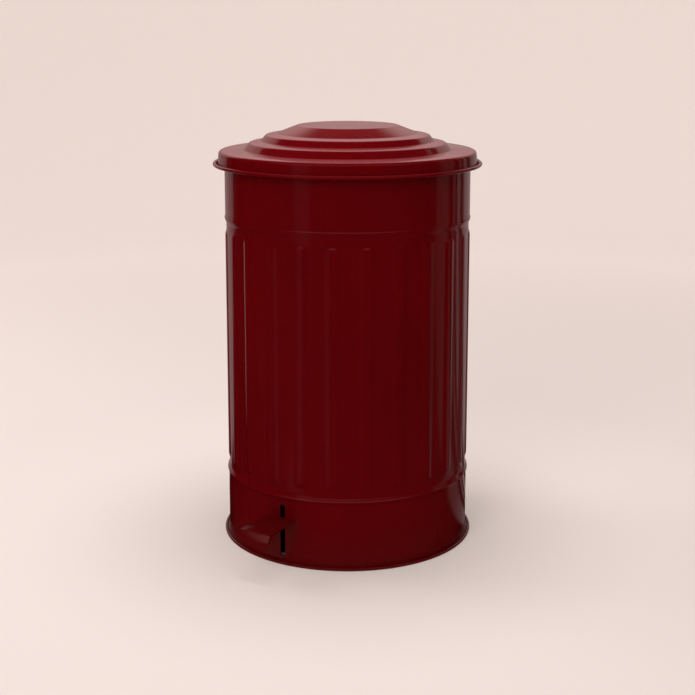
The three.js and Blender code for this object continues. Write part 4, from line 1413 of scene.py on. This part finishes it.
class CAN_OT_stage(Operator):
    """Set up the seamless paper bowl, the soft lights and the camera"""

    bl_idname = "waste_can.stage"
    bl_label = "Studio"

    def execute(self, context):
        self.backdrop()
        self.lights()
        self.camera()
        scene = context.scene
        scene.view_settings.view_transform = "Standard"
        scene.view_settings.look = "None"
        return {"FINISHED"}

    def backdrop(self):
        """A bowl of pale paper. In reflections it shows as a dim room with soft boxes."""
        curve, wall = 1.4, 3.62  # radii of the floor's upturn and of the wall
        under = 0.1 * MM  # gap below the can
        line = [(0.4, 0), (1.0, 0), (1.8, 0), *arc(2.2, curve, curve, -90, -5, 14), (wall, 2.2), (wall, 3.4)]
        bowl = turned("studio_bowl", [(r, z - under) for r, z in line], 96, shut_start=True)
        smooth(bowl, 60)
        made = Finish("studio_paper", Roughness=0.9, Specular_IOR_Level=0.05)
        paper = tuple(bpy.context.scene.can_finishes.backdrop)
        made.shader.inputs["Base Color"].default_value = (*paper, 1)
        tree = made.tree
        room = node_at(tree, "ShaderNodeEmission", Color=(*ROOM_GLOW, 1))
        tree.links.new(self.room_light(tree, made.place), room.inputs["Strength"])
        even = node_at(tree, "ShaderNodeEmission", Color=(*PAPER_GLOW, 1))
        away = node_at(tree, "ShaderNodeVectorMath", operation="LENGTH")
        tree.links.new(made.place, away.inputs[0])
        # The even light grows with the distance from the can, so that the far wall is not darker.
        tree.links.new(between(tree, away.outputs["Value"], 0.6, 1.9, 1.0, 1.9), even.inputs["Strength"])
        path = tree.nodes.new("ShaderNodeLightPath")
        seen = node_at(tree, "ShaderNodeMixShader")
        tree.links.new(product(tree, path.outputs["Is Camera Ray"], EVENNESS), seen.inputs[0])
        tree.links.new(made.shader.outputs[0], seen.inputs[1])
        tree.links.new(even.outputs[0], seen.inputs[2])
        mix = tree.nodes.new("ShaderNodeMixShader")
        tree.links.new(path.outputs["Is Glossy Ray"], mix.inputs[0])
        tree.links.new(seen.outputs[0], mix.inputs[1])
        tree.links.new(room.outputs[0], mix.inputs[2])
        tree.links.new(mix.outputs[0], tree.nodes["Material Output"].inputs["Surface"])
        bowl.data.materials.append(made.material)

    def room_light(self, tree, place):
        """How bright the room looks in the lacquer: a lit backdrop behind, soft boxes at the sides."""
        flat = node_at(tree, "ShaderNodeVectorMath", operation="MULTIPLY")
        tree.links.new(place, flat.inputs[0])
        flat.inputs[1].default_value = (1, 1, 0)
        unit = node_at(tree, "ShaderNodeVectorMath", operation="NORMALIZE")
        tree.links.new(flat.outputs[0], unit.inputs[0])

        def share(direction):
            dot = node_at(tree, "ShaderNodeVectorMath", operation="DOT_PRODUCT")
            tree.links.new(unit.outputs[0], dot.inputs[0])
            dot.inputs[1].default_value = direction
            return dot.outputs["Value"]

        def box_at(degrees, half_width, soft, strength):
            """A soft box at an angle from straight behind, counted to the right."""
            turn = math.radians(degrees)
            aim = -TOWARD * math.cos(turn) + RIGHT * math.sin(turn)
            edge, full = math.cos(math.radians(half_width + soft)), math.cos(math.radians(half_width))
            return product(tree, between(tree, share(aim), edge, full), strength)

        parts = tree.nodes.new("ShaderNodeSeparateXYZ")
        tree.links.new(place, parts.inputs[0])
        height = parts.outputs["Z"]
        glow = ROOM_DIM
        for box in ROOM_BOXES:
            glow = maths(tree, "ADD", box_at(*box), glow)
        raised = between(tree, height, 0.8, 2.0, 0.5, 1.0)
        lowered = between(tree, height, 2.5, 3.3, 1.0, 0.1)
        boxes = product(tree, glow, product(tree, raised, lowered))
        # A long soft box above the camera lights the upper sides of beads and rolls.
        facing = between(tree, share(TOWARD), 0.1, 0.6)
        foot, head = between(tree, height, 1.7, 2.1), between(tree, height, 2.8, 3.2, 1.0, 0.0)
        front = product(tree, facing, product(tree, foot, head), FRONT_BOX)
        return maths(tree, "ADD", boxes, front)

    def lights(self):
        world = bpy.data.worlds.new("studio_air")
        bpy.context.scene.world = world
        world.use_nodes = True
        tree = world.node_tree
        path = tree.nodes.new("ShaderNodeLightPath")
        change = product(tree, path.outputs["Is Glossy Ray"], AIR_IN_GLOSS - AIR_LIGHT)
        air = tree.nodes["Background"]
        tree.links.new(maths(tree, "ADD", change, AIR_LIGHT), air.inputs["Strength"])
        air.inputs["Color"].default_value = (1, 1, 1, 1)
        for name, place, size, power in LAMPS:
            data = bpy.data.lights.new(name, "AREA")
            data.shape, data.size, data.energy = "DISK", size, power
            lamp = bpy.data.objects.new(name, data)
            bpy.context.scene.collection.objects.link(lamp)
            lamp.location = place
            lamp.rotation_euler = (LAMP_AIM - Vector(place)).to_track_quat("-Z", "Y").to_euler()
            lamp.visible_glossy = False
            lamp.visible_camera = False

    def camera(self):
        data = bpy.data.cameras.new("camera")
        data.lens = CAMERA_LENS
        data.shift_y = CAMERA_SHIFT
        camera = bpy.data.objects.new("camera", data)
        bpy.context.scene.collection.objects.link(camera)
        camera.location = TOWARD * CAMERA_DISTANCE + Vector((0, 0, CAMERA_HEIGHT))
        camera.rotation_euler = (math.pi / 2 - CAMERA_PITCH, 0, CAMERA_AZIMUTH)
        bpy.context.scene.camera = camera


# ---------------------------------------------------------------- carried pieces


CARRIED = {
    "zinc_plate": ("pivot_bracket",),
    "bright_steel": ("pivot_pin", "pivot_pin_clip"),
}


class CAN_OT_carried(Operator):
    """Give the frame's own small parts their finishes"""

    bl_idname = "waste_can.carried"
    bl_label = "Carried parts"

    def execute(self, context):
        for key, names in CARRIED.items():
            for name in names:
                mesh = frame["nodes"][name].data
                mesh.materials.clear()
                mesh.materials.append(finish_named(key))
        return {"FINISHED"}


OPERATORS = (
    CAN_OT_body,
    CAN_OT_foot_ring,
    CAN_OT_floors,
    CAN_OT_lid,
    CAN_OT_pedal,
    CAN_OT_hinge,
    CAN_OT_lid_fittings,
    CAN_OT_rod,
    CAN_OT_bucket,
    CAN_OT_bail,
    CAN_OT_carried,
    CAN_OT_stage,
)
GROUP_HOMES = {
    "can_sizes": CanSizes,
    "lid_sizes": LidSizes,
    "pedal_sizes": PedalSizes,
    "hinge_sizes": HingeSizes,
    "bucket_sizes": BucketSizes,
    "can_finishes": Finishes,
}


class CAN_PT_panel(Panel):
    bl_idname = "CAN_PT_panel"
    bl_label = "Waste can"
    bl_space_type = "VIEW_3D"
    bl_region_type = "UI"
    bl_category = "Waste can"

    def draw(self, context):
        for operator in OPERATORS:
            self.layout.operator(operator.bl_idname)
        for home, group in GROUP_HOMES.items():
            box = self.layout.box()
            for key in group.__annotations__:
                box.prop(getattr(context.scene, home), key)


def register():
    for group in GROUP_HOMES.values():
        bpy.utils.register_class(group)
    for home, group in GROUP_HOMES.items():
        setattr(bpy.types.Scene, home, PointerProperty(type=group))
    for operator in OPERATORS:
        bpy.utils.register_class(operator)
    bpy.utils.register_class(CAN_PT_panel)


def unregister():
    bpy.utils.unregister_class(CAN_PT_panel)
    for operator in reversed(OPERATORS):
        bpy.utils.unregister_class(operator)
    for home, group in reversed(GROUP_HOMES.items()):
        delattr(bpy.types.Scene, home)
        bpy.utils.unregister_class(group)


def main():
    register()
    for operator in OPERATORS:
        group, name = operator.bl_idname.split(".")
        getattr(getattr(bpy.ops, group), name)()


if __name__ == "__main__":
    main()
